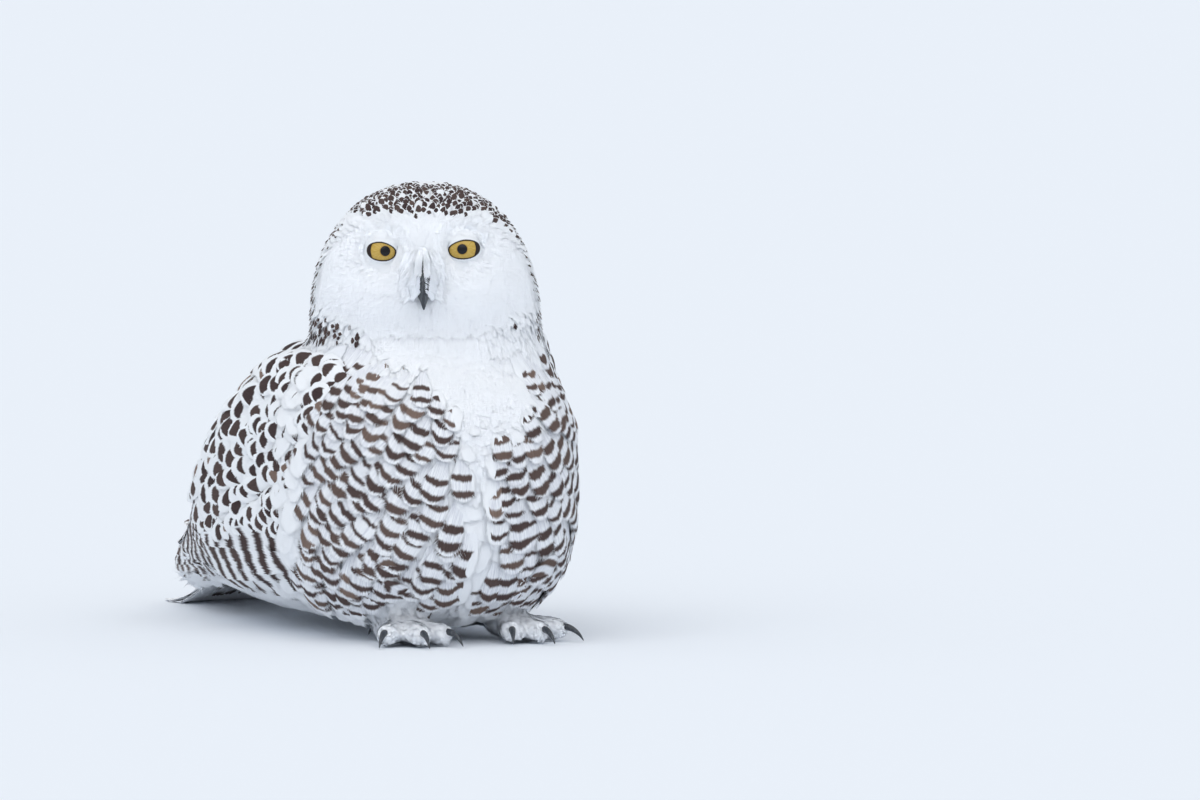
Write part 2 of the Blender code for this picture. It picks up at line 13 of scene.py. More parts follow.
import bmesh
import bpy
import numpy as np
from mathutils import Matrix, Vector
from mathutils.bvhtree import BVHTree
from mathutils.kdtree import KDTree


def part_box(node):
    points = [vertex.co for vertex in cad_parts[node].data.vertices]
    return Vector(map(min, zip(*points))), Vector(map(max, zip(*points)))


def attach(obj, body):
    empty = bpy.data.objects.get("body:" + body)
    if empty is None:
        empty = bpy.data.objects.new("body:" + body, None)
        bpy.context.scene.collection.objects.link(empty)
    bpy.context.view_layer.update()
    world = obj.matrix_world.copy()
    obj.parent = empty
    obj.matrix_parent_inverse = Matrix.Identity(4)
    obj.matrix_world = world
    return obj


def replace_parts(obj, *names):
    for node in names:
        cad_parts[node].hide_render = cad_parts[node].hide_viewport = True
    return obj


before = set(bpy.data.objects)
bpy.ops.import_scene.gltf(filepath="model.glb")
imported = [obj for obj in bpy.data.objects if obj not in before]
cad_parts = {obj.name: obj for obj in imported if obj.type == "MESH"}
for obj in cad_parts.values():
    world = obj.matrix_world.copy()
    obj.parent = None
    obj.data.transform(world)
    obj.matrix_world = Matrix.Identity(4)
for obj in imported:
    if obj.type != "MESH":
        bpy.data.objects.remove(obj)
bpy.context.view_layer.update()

Array = np.ndarray
Faces = list[tuple[int, ...]]
Colour = tuple[float, float, float]
Material = bpy.types.Material
Place = Callable[[Array, Array], Array]

log = logging.getLogger("snowy_owl")
logging.basicConfig(level=logging.INFO, format="%(message)s")

SIDES = (("left", 1.0), ("right", -1.0))
FLESH = ("head", "neck", "trunk", "wing_left", "wing_right", "tail", "leg_left", "leg_right")
FEET = ("foot_left", "foot_right")
CLAWS = tuple(f"claw_{toe}_{side}" for side, _ in SIDES for toe in ("inner", "middle", "outer", "hind"))
MM = 0.001
UP = np.array([0.0, 0.0, 1.0])
AFT = np.array([0.0, 1.0, 0.0])
TOP = 0.232  # height at which the neck's feathers take over from the body's
EYE_MAP_WIDTH = 32.0 * MM  # what the eye's own UV map spans


def unit(vectors: Array) -> Array:
    """Scale vectors to length one along their last axis."""
    return vectors / np.maximum(np.linalg.norm(vectors, axis=-1, keepdims=True), 1e-12)


def ramp(low: float, high: float, value: Array) -> Array:
    """Smooth step from 0 at low to 1 at high, which may be the smaller of the two."""
    share = np.clip((value - low) / (high - low), 0.0, 1.0)
    return share * share * (3.0 - 2.0 * share)


def mix(a: Array, b: Array, share: Array) -> Array:
    """Value between a and b."""
    return a + (b - a) * share


def rows(*columns: Array) -> Array:
    """Columns side by side, with plain numbers spread over all the rows."""
    return np.stack(np.broadcast_arrays(*columns), -1) * 1.0


def tangent(vectors: Array, normals: Array) -> Array:
    """The part of each vector that lies in the surface, as a unit vector."""
    return unit(vectors - normals * np.sum(vectors * normals, axis=-1, keepdims=True))


def run_of(paths: Array) -> Array:
    """Length of each path of points."""
    return np.linalg.norm(np.diff(paths, axis=1), axis=2).sum(1)


@dataclass(frozen=True)
class Anatomy:
    """Landmarks of the bird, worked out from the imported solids."""

    eyes: tuple[Array, Array]  # centres, the bird's left first
    eye_radius: float
    side: Array  # unit vector towards the bird's left, across the face
    forward: Array  # level unit vector out of the face
    head: Array  # point on the head's upright axis, at the height of the eyes
    pivot_y: float  # where the body's upright axis crosses the floor
    tail_y: float

    @classmethod
    def from_frame(cls) -> "Anatomy":
        """Read the landmarks from the frame's boxes.

        Returns:
            The landmarks.
        """
        left, right, tail = (np.array(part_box(name)) for name in ("eye_left", "eye_right", "tail"))
        radius = float(left[1, 2] - left[0, 2]) / 2
        left, right = left.mean(0), right.mean(0)
        side = unit(left - right)
        forward = unit(np.array([side[1], -side[0], 0.0]))
        head = (left + right) / 2 - forward * 43.0 * MM
        return cls((left, right), radius, side, forward, head, float(head[1] - 41.0 * MM), float(tail[1, 1]))

    def face(self, points: Array) -> tuple[Array, Array, Array]:
        """Distances towards the bird's left, forward and up, from the middle of the head."""
        off = points - self.head
        return off @ self.side, off @ self.forward, off[:, 2]


class Surface:
    """A mesh that feathers grow on: nearest points, smooth normals and rays from outside."""

    def __init__(self, vertices: Array, faces: Faces, parts: Array | None = None) -> None:
        """Keep the mesh, its smooth normals and the part that each face belongs to.

        Args:
            vertices: points, one in each row.
            faces: point numbers round each face.
            parts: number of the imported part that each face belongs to.
        """
        self.vertices, self.faces = vertices, faces
        self.parts = np.zeros(len(faces), int) if parts is None else parts
        self.tree = BVHTree.FromPolygons([tuple(v) for v in vertices], faces)
        self.quads = np.array([[*face[:3], face[-1]] for face in faces])
        a, b, c, _ = vertices[self.quads].transpose(1, 0, 2)
        normals = np.zeros_like(vertices)
        for corner in self.quads.T:
            np.add.at(normals, corner, np.cross(b - a, c - a))
        self.vertex_normals = unit(normals)
        self.face_normals = unit(self.vertex_normals[self.quads].mean(1))

    def nearest(self, points: Array) -> tuple[Array, Array, Array]:
        """The closest places on the mesh, and the smooth normals and parts there.

        Args:
            points: places near the mesh.

        Returns:
            Places, normals and part numbers, one for each point.
        """
        found = [self.tree.find_nearest(point) for point in points]
        index = [face for _, _, face, _ in found]
        return np.array([place for place, _, _, _ in found]), self.face_normals[index], self.parts[index]

    def joined(self, others: list["Surface"]) -> "Surface":
        """This mesh and others as one.

        Args:
            others: the meshes to add.

        Returns:
            The mesh of all of them.
        """
        vertices, faces, parts = self.vertices, list(self.faces), self.parts
        for other in others:
            faces += [tuple(len(vertices) + i for i in face) for face in other.faces]
            vertices, parts = np.concatenate([vertices, other.vertices]), np.concatenate([parts, other.parts])
        return Surface(vertices, faces, parts)

    def from_outside(self, inner: Array, directions: Array, reach: float = 0.5) -> tuple[Array, Array, Array]:
        """Outermost places along rays that come in from outside.

        Args:
            inner: points that the rays head for.
            directions: unit vectors from each inner point outwards.
            reach: how far out the rays start.

        Returns:
            The places, the smooth normals there and which rays met the mesh.
        """
        places, normals = np.zeros_like(inner), np.zeros_like(inner)
        met = np.zeros(len(inner), bool)
        for i, (point, ray) in enumerate(zip(inner, directions)):
            place, _, face, _ = self.tree.ray_cast(point + ray * reach, -ray, reach)
            if place is not None:
                places[i], normals[i], met[i] = place, self.face_normals[face], True
        return places, normals, met


def world_mesh(obj: bpy.types.Object) -> tuple[Array, Faces]:
    """An object's vertices in the world and its faces.

    Args:
        obj: a mesh object.

    Returns:
        The points, one in each row, and the faces.
    """
    matrix = np.array(obj.matrix_world)
    points = np.array([v.co[:] for v in obj.data.vertices]) @ matrix[:3, :3].T + matrix[:3, 3]
    return points, [tuple(p.vertices) for p in obj.data.polygons]


def drawn(name: str, points: Array, faces: Faces) -> bpy.types.Mesh:
    """A new mesh.

    Args:
        name: the mesh's name.
        points: places, one in each row.
        faces: point numbers round each face.

    Returns:
        The mesh.
    """
    mesh = bpy.data.meshes.new(name)
    mesh.from_pydata([tuple(p) for p in points], [], faces)
    return mesh


def link(name: str, mesh: bpy.types.Mesh, material: Material) -> bpy.types.Object:
    """Add a piece that rides on the owl's one body.

    Args:
        name: the piece's name.
        mesh: its mesh.
        material: its finish.

    Returns:
        The new object.
    """
    mesh.materials.clear()
    mesh.materials.append(material)
    obj = bpy.data.objects.new(name, mesh)
    bpy.context.scene.collection.objects.link(obj)
    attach(obj, "root")
    log.info("%s: %d faces", name, len(mesh.polygons))
    return obj


def write_maps(mesh: bpy.types.Mesh, **maps: Array) -> None:
    """Store UV maps that are given point by point.

    Args:
        mesh: the mesh that gets them.
        maps: places on each map, one in each row, by the map's name.
    """
    index = np.empty(len(mesh.loops), np.int32)
    mesh.loops.foreach_get("vertex_index", index)
    for name, values in maps.items():
        mesh.uv_layers.new(name=name).data.foreach_set("uv", values[index].astype(np.float32).ravel())


def write_values(mesh: bpy.types.Mesh, **layers: Array) -> None:
    """Store one number or four at every point, by the layer's name.

    Args:
        mesh: the mesh that gets them.
        layers: the values, by the layer's name.
    """
    for name, values in layers.items():
        kind, key = ("FLOAT", "value") if values.ndim == 1 else ("FLOAT_COLOR", "color")
        mesh.attributes.new(name, kind, "POINT").data.foreach_set(key, values.astype(np.float32).ravel())


# Materials ----------------------------------------------------------------------------------------


class Signal:
    """A shader socket's value, so that shader arithmetic reads as plain sums."""

    def __init__(self, nodes: "Nodes", socket: bpy.types.NodeSocket) -> None:
        """Keep the socket and the material that it belongs to."""
        self.nodes, self.socket = nodes, socket

    def __add__(self, other: object) -> "Signal":
        """Sum."""
        return self.nodes.math("ADD", self, other)

    def __mul__(self, other: object) -> "Signal":
        """Product."""
        return self.nodes.math("MULTIPLY", self, other)

    def __sub__(self, other: object) -> "Signal":
        """Difference."""
        return self.nodes.math("SUBTRACT", self, other)

    def __truediv__(self, other: object) -> "Signal":
        """Quotient."""
        return self.nodes.math("DIVIDE", self, other)


class Nodes:
    """A short hand for wiring a material's nodes."""

    def __init__(self, name: str) -> None:
        """Start a material that holds a Principled shader alone.

        Args:
            name: the material's name.
        """
        self.material = bpy.data.materials.new(name)
        self.material.use_nodes = True
        self.tree = self.material.node_tree
        self.shader = self.tree.nodes["Principled BSDF"]

    def add(self, kind: str, inputs: dict[object, object], output: object = 0, **settings: object) -> Signal:
        """Add a node.

        Args:
            kind: the node's type, without its prefix.
            inputs: values or signals for its sockets.
            output: the socket wanted.
            settings: the node's properties.

        Returns:
            The output's signal.
        """
        node = self.tree.nodes.new(f"ShaderNode{kind}")
        for key, value in settings.items():
            setattr(node, key, value)
        for key, value in inputs.items():
            self.wire(value, node.inputs[key])
        return Signal(self, node.outputs[output])

    def wire(self, source: object, target: bpy.types.NodeSocket) -> None:
        """Link a signal to a socket, or set the socket to a plain value.

        Args:
            source: a signal or a value.
            target: the socket that takes it.
        """
        if isinstance(source, Signal):
            self.tree.links.new(source.socket, target)
        else:
            target.default_value = (*source, 1.0) if target.type == "RGBA" else source

    def math(self, operation: str, a: object, b: object = 0.0) -> Signal:
        """One Math node."""
        return self.add("Math", {0: a, 1: b}, operation=operation)

    def step(self, value: object, low: object, high: object) -> Signal:
        """A smooth step from 0 at low to 1 at high."""
        given = {"Value": value, "From Min": low, "From Max": high}
        return self.add("MapRange", given, "Result", interpolation_type="SMOOTHSTEP")

    def blend(self, share: object, a: object, b: object, way: str = "MIX") -> Signal:
        """Mix two colours."""
        return self.add("Mix", {0: share, 6: a, 7: b}, 2, data_type="RGBA", blend_type=way)

    def attribute(self, name: str, output: str = "Fac") -> Signal:
        """Read a named attribute of the mesh."""
        return self.add("Attribute", {}, output, attribute_name=name)

    def parts(self, vector: Signal) -> list[Signal]:
        """Split a vector or colour into its three numbers."""
        return [self.add("SeparateXYZ", {0: vector}, i) for i in range(3)]

    def noise(self, scale: float, detail: float, x: object, y: object = None, z: object = None) -> Signal:
        """Noise about 0.5, over a vector or over three numbers."""
        place = x if y is None else self.add("CombineXYZ", {0: x, 1: y, 2: z})
        return self.add("TexNoise", {"Scale": scale, "Detail": detail, "Vector": place}, "Fac")

    def where(self) -> Signal:
        """The point's place in the world."""
        return self.add("NewGeometry", {}, "Position")

    def done(self, height: Signal, distance: float, strength: float = 1.0, **sockets: object) -> Material:
        """Raise the surface by a height, fill the shader's own sockets and hand over the material.

        Args:
            height: the height's signal.
            distance: the height of its full range.
            strength: the bump's strength.
            sockets: values for the shader's sockets, with _ for each space.

        Returns:
            The material.
        """
        bump = {"Height": height, "Distance": distance, "Strength": strength}
        for name, value in {**sockets, "Normal": self.add("Bump", bump)}.items():
            self.wire(value, self.shader.inputs[name.replace("_", " ")])
        return self.material


@dataclass(frozen=True)
class PlumageFinish:
    """Feathers: white, with brown bars that each feather's own marks place along its vane, and painted shade towards
    the root and between loose barbs.
    """

    white: Colour = (0.872, 0.900, 0.940)
    # the grey towards each feather's root: painted shade that shows between the feathers
    down: Colour = (0.78, 0.81, 0.870)
    brown: Colour = (0.058, 0.040, 0.041)
    tan: Colour = (0.30, 0.215, 0.175)
    barb_gap_shade: Colour = (0.42, 0.44, 0.54)  # painted shade between the barbs, with the dark bars beneath showing through
    roughness: float = 0.75
    edge: float = 0.040  # softness of a bar's edges, as a share of the feather
    ragged: float = 0.080  # how far its edges wander from barb to barb
    taper: float = 0.50  # how much narrower a bar is at its ends
    point: float = 1.4  # how far a wing feather's mark runs up its shaft
    glow: float = 0.002  # how far light travels through the down

    def make(self) -> Material:
        """Build the material.

        Returns:
            The finished material.
        """
        n = Nodes("plumage")
        u, v, _ = n.parts(n.add("UVMap", {}, uv_map="vane"))
        centre, half, pitch = n.parts(n.attribute("marks", "Color"))
        strength, tone, chance = n.parts(n.attribute("tint", "Color"))
        arc, reach = n.attribute("marks", "Alpha"), n.attribute("tint", "Alpha")
        across = u * 2.0 - 1.0 + (chance - 0.5) * (reach * -1.3 + 1.3)
        across2 = across * across
        spent = across2 / (reach * reach)
        half = half * (spent * -self.taper + 1.0)
        barbs = u * 26.0, v * 2.5, chance * 31.0
        wander = n.noise(1.0, 3.0, *barbs) * self.ragged - 0.5 * self.ragged
        wave = n.noise(1.0, 1.0, u * 2.5, v, chance * 57.0) * 0.10 - 0.05
        turns = (arc * across2 + v + wander + wave - centre) / pitch
        offset = (turns - n.math("ROUND", turns)) * pitch
        flame = n.step(reach, 0.79, 0.74) * n.step(spent, 0.9, 0.0)
        before = offset * -1.0 - half * (flame * self.point + 1.0)
        bar = n.step(n.math("MAXIMUM", offset - half, before), self.edge, -0.3 * self.edge)
        side = n.step(n.math("ABSOLUTE", across) + wander * 1.5, reach + 0.14, reach - 0.02)
        soft = n.step(reach, 0.82, 0.87)  # 1 for the loose feathers of breast and flanks
        covered = soft * n.step(v, 0.52, 0.42)
        mark = bar * side * n.step(strength, 0.42, 0.58) * (covered * -1.0 + 1.0)
        streak = n.noise(1.7, 2.0, *barbs) * 0.7 + 0.62
        grey = n.add("CombineXYZ", {0: streak, 1: streak, 2: streak})
        dark = n.blend(1.0, n.blend(tone, self.brown, self.tan), grey, "MULTIPLY")
        # Greyer towards the root: painted shade between the feathers.
        pale = n.blend(n.step(v, 0.55, 0.05) * 0.60, self.white, self.down)
        # Painted shade at random spots between the loose barbs of barred soft feathers.
        loose = n.step(n.noise(1.0, 2.0, u * 46.0, v * 3.0, chance * 19.0), 0.40, 0.68) * soft
        pale = n.blend(loose * strength * 0.50, pale, self.barb_gap_shade)
        n.shader.subsurface_method = "BURLEY"
        return n.done(
            n.noise(2.2, 2.0, *barbs), 0.4 * MM, 0.5, Base_Color=n.blend(mark, pale, dark), Roughness=self.roughness,
            Specular_IOR_Level=0.08, Subsurface_Weight=0.5, Subsurface_Radius=(1.0, 1.0, 1.0),
            Subsurface_Scale=self.glow,
        )


@dataclass(frozen=True)
class SkinFinish:
    """The skin under the feathers, with the same bars drawn faintly along its own rows."""

    white: Colour = (0.84, 0.87, 0.92)
    brown: Colour = (0.20, 0.16, 0.14)
    row: float = 12.6 * MM

    def make(self) -> Material:
        """Build the material.

        Returns:
            The finished material.
        """
        n = Nodes("skin_down")
        wobble = n.noise(90.0, 3.0, n.where()) * 0.6
        wave = n.math("FRACT", n.attribute("rows") / self.row + wobble)
        bar = n.step(n.math("ABSOLUTE", wave - 0.5), 0.22, 0.12) * n.attribute("barred")
        colour = n.blend(bar, self.white, self.brown)
        return n.done(n.noise(900.0, 4.0, n.where()), 0.6 * MM, Base_Color=colour, Roughness=0.9)


@dataclass(frozen=True)
class HornFinish:
    """Slate-black horn of bill and claws, smooth with fine growth lines."""

    dark: Colour = (0.030, 0.036, 0.046)
    pale: Colour = (0.11, 0.125, 0.145)
    roughness: float = 0.32

    def make(self) -> Material:
        """Build the material.

        Returns:
            The finished material.
        """
        n = Nodes("slate_horn")
        x, y, z = n.parts(n.where())
        grain = n.noise(1.0, 4.0, x * 700.0, y * 700.0, z * 160.0)
        colour = n.blend(n.step(grain, 0.45, 0.8), self.dark, self.pale)
        return n.done(grain, 0.12 * MM, Base_Color=colour, Roughness=grain * 0.25 + (self.roughness - 0.1))


@dataclass(frozen=True)
class EyeFinish:
    """A wet eye: black pupil, golden iris with fine rays and a dark outer ring."""

    pupil: float = 3.65 * MM
    iris: float = 11.6 * MM
    gold: Colour = (0.50, 0.32, 0.060)
    pale: Colour = (0.62, 0.44, 0.12)
    deep: Colour = (0.30, 0.155, 0.02)
    black: Colour = (0.004, 0.005, 0.008)

    def make(self) -> Material:
        """Build the material, which reads the distance from the eye's own axis.

        Returns:
            The finished material.
        """
        n = Nodes("owl_eye")
        x, y, _ = n.parts(n.add("UVMap", {}, uv_map="gaze"))
        x, y = x - 0.5, y - 0.5
        radius = n.math("SQRT", x * x + y * y) * EYE_MAP_WIDTH
        turn = n.math("ARCTAN2", y, x)
        fibre = n.noise(2.2, 5.0, n.math("COSINE", turn) * 9.0, n.math("SINE", turn) * 9.0, radius * 150.0)
        body = n.blend(n.step(fibre, 0.35, 0.7), self.gold, self.pale)
        body = n.blend(n.step(radius, self.iris - 2.6 * MM, self.iris), body, self.deep)
        body = n.blend(n.step(radius, self.pupil + 1.3 * MM, self.pupil) * 0.55, body, self.deep)
        hole = n.step(radius, self.pupil + 0.28 * MM, self.pupil - 0.05 * MM)
        return n.done(
            fibre * (hole * -1.0 + 1.0), 0.2 * MM, Base_Color=n.blend(hole, body, self.black), Roughness=0.22,
            Specular_IOR_Level=0.2, Coat_Weight=0.25, Coat_Roughness=0.03,
        )


@dataclass(frozen=True)
class LidFinish:
    """Bare eyelid skin: near-black along the rim, pale away from it."""

    rim: Colour = (0.030, 0.022, 0.020)
    pale: Colour = (0.82, 0.85, 0.89)

    def make(self) -> Material:
        """Build the material.

        Returns:
            The finished material.
        """
        n = Nodes("eyelid")
        grain = n.noise(1400.0, 3.0, n.where())
        edge = (grain - 0.5) * 0.3 + n.attribute("from_rim")
        colour = n.blend(n.step(edge, 0.42, 0.72), self.rim, self.pale)
        return n.done(grain, 0.2 * MM, Base_Color=colour, Roughness=0.55, Specular_IOR_Level=0.15)


@dataclass(frozen=True)
class StudioFinish:
    """Plain pale matt floor."""

    colour: Colour = (0.855, 0.90, 0.965)

    def make(self) -> Material:
        """Build the material.

        Returns:
            The finished material.
        """
        n = Nodes("studio_floor")
        for name, value in (("Base Color", self.colour), ("Roughness", 0.9), ("Specular IOR Level", 0.1)):
            n.wire(value, n.shader.inputs[name])
        return n.material


# Feathers -----------------------------------------------------------------------------------------


@dataclass(frozen=True)
class Cut:
    """The build of one kind of feather: a vane of barbs that part into loose tips at its edge."""

    barbs: int = 12  # on each side of the shaft
    segments: int = 2  # across each side of the vane
    tips: int = 3  # loose tips between two barbs
    stations: int = 5  # along the shaft
    solid: float = 0.78  # share of each barb that is hooked into the vane
    widest: float = 0.62  # share of the length where it is widest
    base_width: float = 0.50  # width at its root, as a share of the widest
    slant: float = 0.20  # how far each barb runs forward, as a share of the length
    roundness: float = 0.80  # power of the tip's outline
    narrow: float = 1.0  # width of its outer side, as a share of the inner
    fray: float = 0.16  # scatter of the loose tips' length
    waver: float = 0.04  # scatter of the vane's outline
    camber: float = 0.9 * MM  # how far its sides bend down
    stiffness: float = 0.15  # 0 follows the body, 1 stays straight
    rise: float = 0.9  # power of the lift along it
    fluff: float = 0.25 * MM  # scatter of the barbs' height


SOFT = Cut(tips=7, solid=0.68, fray=0.15, waver=0.03, camber=1.1 * MM, fluff=0.12 * MM, roundness=0.62,
           widest=0.70, slant=0.27)
FIRM = Cut(solid=0.88, widest=0.66, fray=0.09, waver=0.02, camber=1.2 * MM, stiffness=0.3, slant=0.17,
           fluff=0.10 * MM, roundness=0.75)
DOWNY = Cut(barbs=9, segments=1, tips=6, solid=0.55, fray=0.24, waver=0.06, camber=0.6 * MM, fluff=0.12 * MM,
            roundness=0.65, slant=0.30)
SCALE = Cut(barbs=7, segments=1, tips=2, stations=4, solid=0.75, camber=0.5 * MM, fray=0.15, fluff=0.12 * MM)
VELVET = Cut(barbs=4, segments=1, stations=3, solid=0.62, camber=0.10 * MM, fray=0.20, fluff=0.02 * MM)
QUILL = replace(FIRM, tips=1, solid=0.95, fray=0.02)
BRISTLE = Cut(barbs=5, segments=1, tips=2, stations=8, solid=0.6, slant=0.25, camber=0.1 * MM, fray=0.2,
              fluff=0.04 * MM, base_width=0.8)


@dataclass
class Crop:
    """Feathers to be grown, one row of every array for each. Plain numbers are spread over all of them."""

    root: Array
    normal: Array
    flow: Array
    length: Array
    width: Array
    low: Array  # height of the root over the skin
    high: Array  # height of the tip
    marks: Array  # bar centre, half width, pitch and arc
    tint: Array  # strength, tone, chance and reach
    patch: Array  # the root's place on the tract's unwrap

    def __post_init__(self) -> None:
        """Spread the plain numbers."""
        each = np.ones(len(self.root))
        for name in ("length", "width", "low", "high"):
            setattr(self, name, getattr(self, name) * each)
        self.marks, self.tint = (rows(*given, each)[:, :4] for given in (self.marks, self.tint))

    def pick(self, keep: Array) -> "Crop":
        """The feathers that a mask keeps."""
        kept = {item.name: getattr(self, item.name)[keep] for item in fields(self)}
        return Crop(**{**kept, "marks": kept["marks"].T, "tint": kept["tint"].T})


class FeatherLoom:
    """Turns a crop into one mesh of barbs that follow the skin."""

    FULL_WIDTH = 0.55  # share of the barbs, from the root, up to the widest one
    MAP_MARGIN = 0.04
    PATCH = 0.68  # size of a feather's patch on the map, as a share of the distance to the next root
    PATCH_LIMITS = (0.0008, 0.05)
    LOWEST = 0.2 * MM  # height over the floor that no point goes below
    LONGEST_TIP = 1.6  # as a share of its barb
    TIP_SLIP = 0.005  # scatter of the loose tips along the feather, as a share of its length

    def __init__(self, skin: Surface, seed: int) -> None:
        """Keep the skin and a seeded source of chance."""
        self.skin = skin
        self.chance = np.random.default_rng(seed)

    def shafts(self, crop: Crop, cut: Cut) -> tuple[Array, Array]:
        """Lay each feather's shaft over the skin.

        Args:
            crop: the feathers.
            cut: their build.

        Returns:
            Points and normals along the shafts, each of shape (feathers, stations, 3).
        """
        step = (crop.length / (cut.stations - 1))[:, None]
        place, ahead = crop.root, crop.flow
        points, normals = [place], [crop.normal]
        for k in range(1, cut.stations):
            hit, normal, _ = self.skin.nearest(place + ahead * step)
            moved = hit - place
            moved = unit(moved) * np.minimum(np.linalg.norm(moved, axis=1)[:, None], step)
            place = place + moved
            points.append(mix(place, crop.root + crop.flow * (step * k), cut.stiffness))
            normals.append(unit(mix(normal, crop.normal, cut.stiffness)))
            ahead = tangent(mix(ahead, moved / np.maximum(step, 1e-9), 0.5), normal)
        return np.stack(points, 1), np.stack(normals, 1)

    @staticmethod
    def read(values: Array, along: Array) -> Array:
        """Values between stations, carried on past the last one.

        Args:
            values: numbers by feather and station.
            along: places from root to tip, 0 to 1.

        Returns:
            The numbers at those places.
        """
        last = values.shape[1] - 2
        place = along * (last + 1)
        index = np.clip(np.floor(place).astype(int), 0, last)[..., None]
        share = place[..., None] - index
        low, high = (np.take_along_axis(values, index + i, 1) for i in (0, 1))
        return low * (1.0 - share) + high * share

    def plan(self, crop: Crop, cut: Cut) -> tuple[Array, Array, Array, Array]:
        """Lay every feather out flat.

        Args:
            crop: the feathers.
            cut: their build.

        Returns:
            Distance across, share along and height of every point, each of shape (feathers, points), and
            one feather's triangles as indices into its points.
        """
        count, lines, gaps, tips, full = len(crop.root), cut.barbs, cut.barbs - 1, cut.tips, self.FULL_WIDTH
        order = np.linspace(0.0, 1.0, lines)
        early = order < full
        bend = np.clip((order - full) / (1.0 - full), 0.0, 1.0) * math.pi / 2
        straight = mix(cut.slant + 0.02, cut.widest, np.minimum(order / full, 1.0))
        ahead = np.where(early, straight, cut.widest + (1.0 - cut.widest) * np.sin(bend))
        wide = np.where(early, mix(cut.base_width, 1.0, ramp(0.0, full, order)), np.cos(bend) ** cut.roundness)
        behind = ahead - mix(cut.slant, 0.05, ramp(full, 1.0, order))
        girth = np.array([cut.narrow, 1.0])[:, None]
        shape, tip_shape = (count, 2, lines), (count, 2, gaps, tips)
        reach = wide * girth * (1.0 + cut.waver * self.chance.normal(0.0, 1.0, shape))
        height = self.chance.normal(0.0, cut.fluff, shape)

        def barb(where: Array, share: Array) -> list[Array]:
            """Distance across, share along and height, at a share of the way out along barbs or between them.

            Args:
                where: barb numbers, with fractions between two barbs.
                share: shares of the way out.

            Returns:
                The three measures.
            """
            low = np.clip(np.floor(where).astype(int), 0, lines - 2)
            part = where - low
            out, root, end, lift = (
                values[..., low] * (1.0 - part) + values[..., low + 1] * part
                for values in (reach, behind, ahead, height)
            )
            out = out * (1.0 - np.maximum(1.0 - share, 0.0) ** 1.3 + 0.9 * np.maximum(share - 1.0, 0.0))
            return list(np.broadcast_arrays(out, root + (end - root) * share**1.25, lift * share**1.5))

        shares = np.linspace(0.0, cut.solid, cut.segments + 1)
        body = barb(np.arange(lines)[:, None], shares)
        place = np.arange(gaps)[:, None] + np.arange(tips + 1) / tips
        stretch = 1.0 + self.chance.normal(0.0, cut.fray, tip_shape)
        apex = barb(0.5 * (place[:, :-1] + place[:, 1:]), np.clip(stretch, cut.solid + 0.02, self.LONGEST_TIP))
        apex[1] = apex[1] + self.chance.normal(0.0, self.TIP_SLIP, tip_shape)
        loose = [
            np.stack(corners, -1)
            for corners in zip(barb(place[:, :-1], cut.solid), barb(place[:, 1:], cut.solid), apex)
        ]
        faces, each = [], len(shares)
        for side in range(2):
            for line in range(gaps):
                for k in range(each - 1):
                    a = (side * lines + line) * each + k
                    b, c, d = a + 1, a + each + 1, a + each
                    faces += [(a, b, c), (a, c, d)] if side else [(a, c, b), (a, d, c)]
        for k in range(2 * gaps * tips):
            a = 2 * lines * each + k * 3
            faces.append((a, a + 2, a + 1) if k >= gaps * tips else (a, a + 1, a + 2))
        hand = np.array([-1.0, 1.0])[:, None, None]
        body[0], loose[0] = body[0] * hand, loose[0] * hand[..., None]
        x, v, z = (np.concatenate([m.reshape(count, -1), t.reshape(count, -1)], 1) for m, t in zip(body, loose))
        return x * (crop.width / 2)[:, None], v, z - cut.camber * x**2, np.array(faces)

    def weave(self, name: str, crop: Crop, cut: Cut, finish: Material, slot: str = "white_plumage",
              laid: tuple[Array, Array] | None = None, mask: Callable[[Array], Array] | None = None) -> None:
        """Build one coat piece.

        Args:
            name: the piece's name.
            crop: its feathers.
            cut: their build.
            finish: their material.
            slot: not used.
            laid: shafts and normals, when they are not simply laid along the skin.
            mask: share of the marks that shows at given points.
        """
        spine, normals = laid or self.shafts(crop, cut)
        along = np.linspace(0.0, 1.0, spine.shape[1]) ** cut.rise
        spine = spine + normals * mix(crop.low[:, None], crop.high[:, None], along)[..., None]
        forward = unit(np.gradient(spine, axis=1))
        across = unit(np.cross(forward, normals))
        xs, vs, zs, faces = self.plan(crop, cut)
        place = self.read(spine, vs) + self.read(across, vs) * xs[..., None]
        place = place + self.read(np.cross(across, forward), vs) * zs[..., None]
        place[..., 2] = np.maximum(place[..., 2], self.LOWEST)
        count, each = xs.shape
        place = place.reshape(-1, 3)
        mesh = self.triangles(name, place, (np.arange(count)[:, None, None] * each + faces).reshape(-1))
        vane = np.clip(rows(xs / crop.width[:, None] + 0.5, vs), 0.0, 1.0)
        centre, size = self.patches(crop.patch)
        bake = centre[:, None] + (vane - 0.5) * size[:, None, None]
        write_maps(mesh, OFBake=bake.reshape(-1, 2), vane=vane.reshape(-1, 2))
        tint = np.repeat(crop.tint, each, 0)
        if mask:
            tint[:, 0] *= mask(place)
        write_values(mesh, marks=np.repeat(crop.marks, each, 0), tint=tint)
        link(name, mesh, finish)
        log.info("%s: %d feathers", name, count)

    def patches(self, places: Array) -> tuple[Array, Array]:
        """Spread the roots' unwrap over the map, and size each feather's patch to stay clear of the next.

        Args:
            places: the roots on the tract's unwrap.

        Returns:
            The patches' centres and sizes.
        """
        low, high = places.min(0), places.max(0)
        room = 1.0 - 2.0 * self.MAP_MARGIN
        centre = self.MAP_MARGIN + room * (places - low) / np.maximum(high - low, 1e-6)
        tree = KDTree(len(centre))
        for i, point in enumerate(centre):
            tree.insert((*point, 0.0), i)
        tree.balance()
        gap = np.array([tree.find_n((*point, 0.0), 2)[-1][2] for point in centre])
        return centre, np.clip(self.PATCH * gap, *self.PATCH_LIMITS)

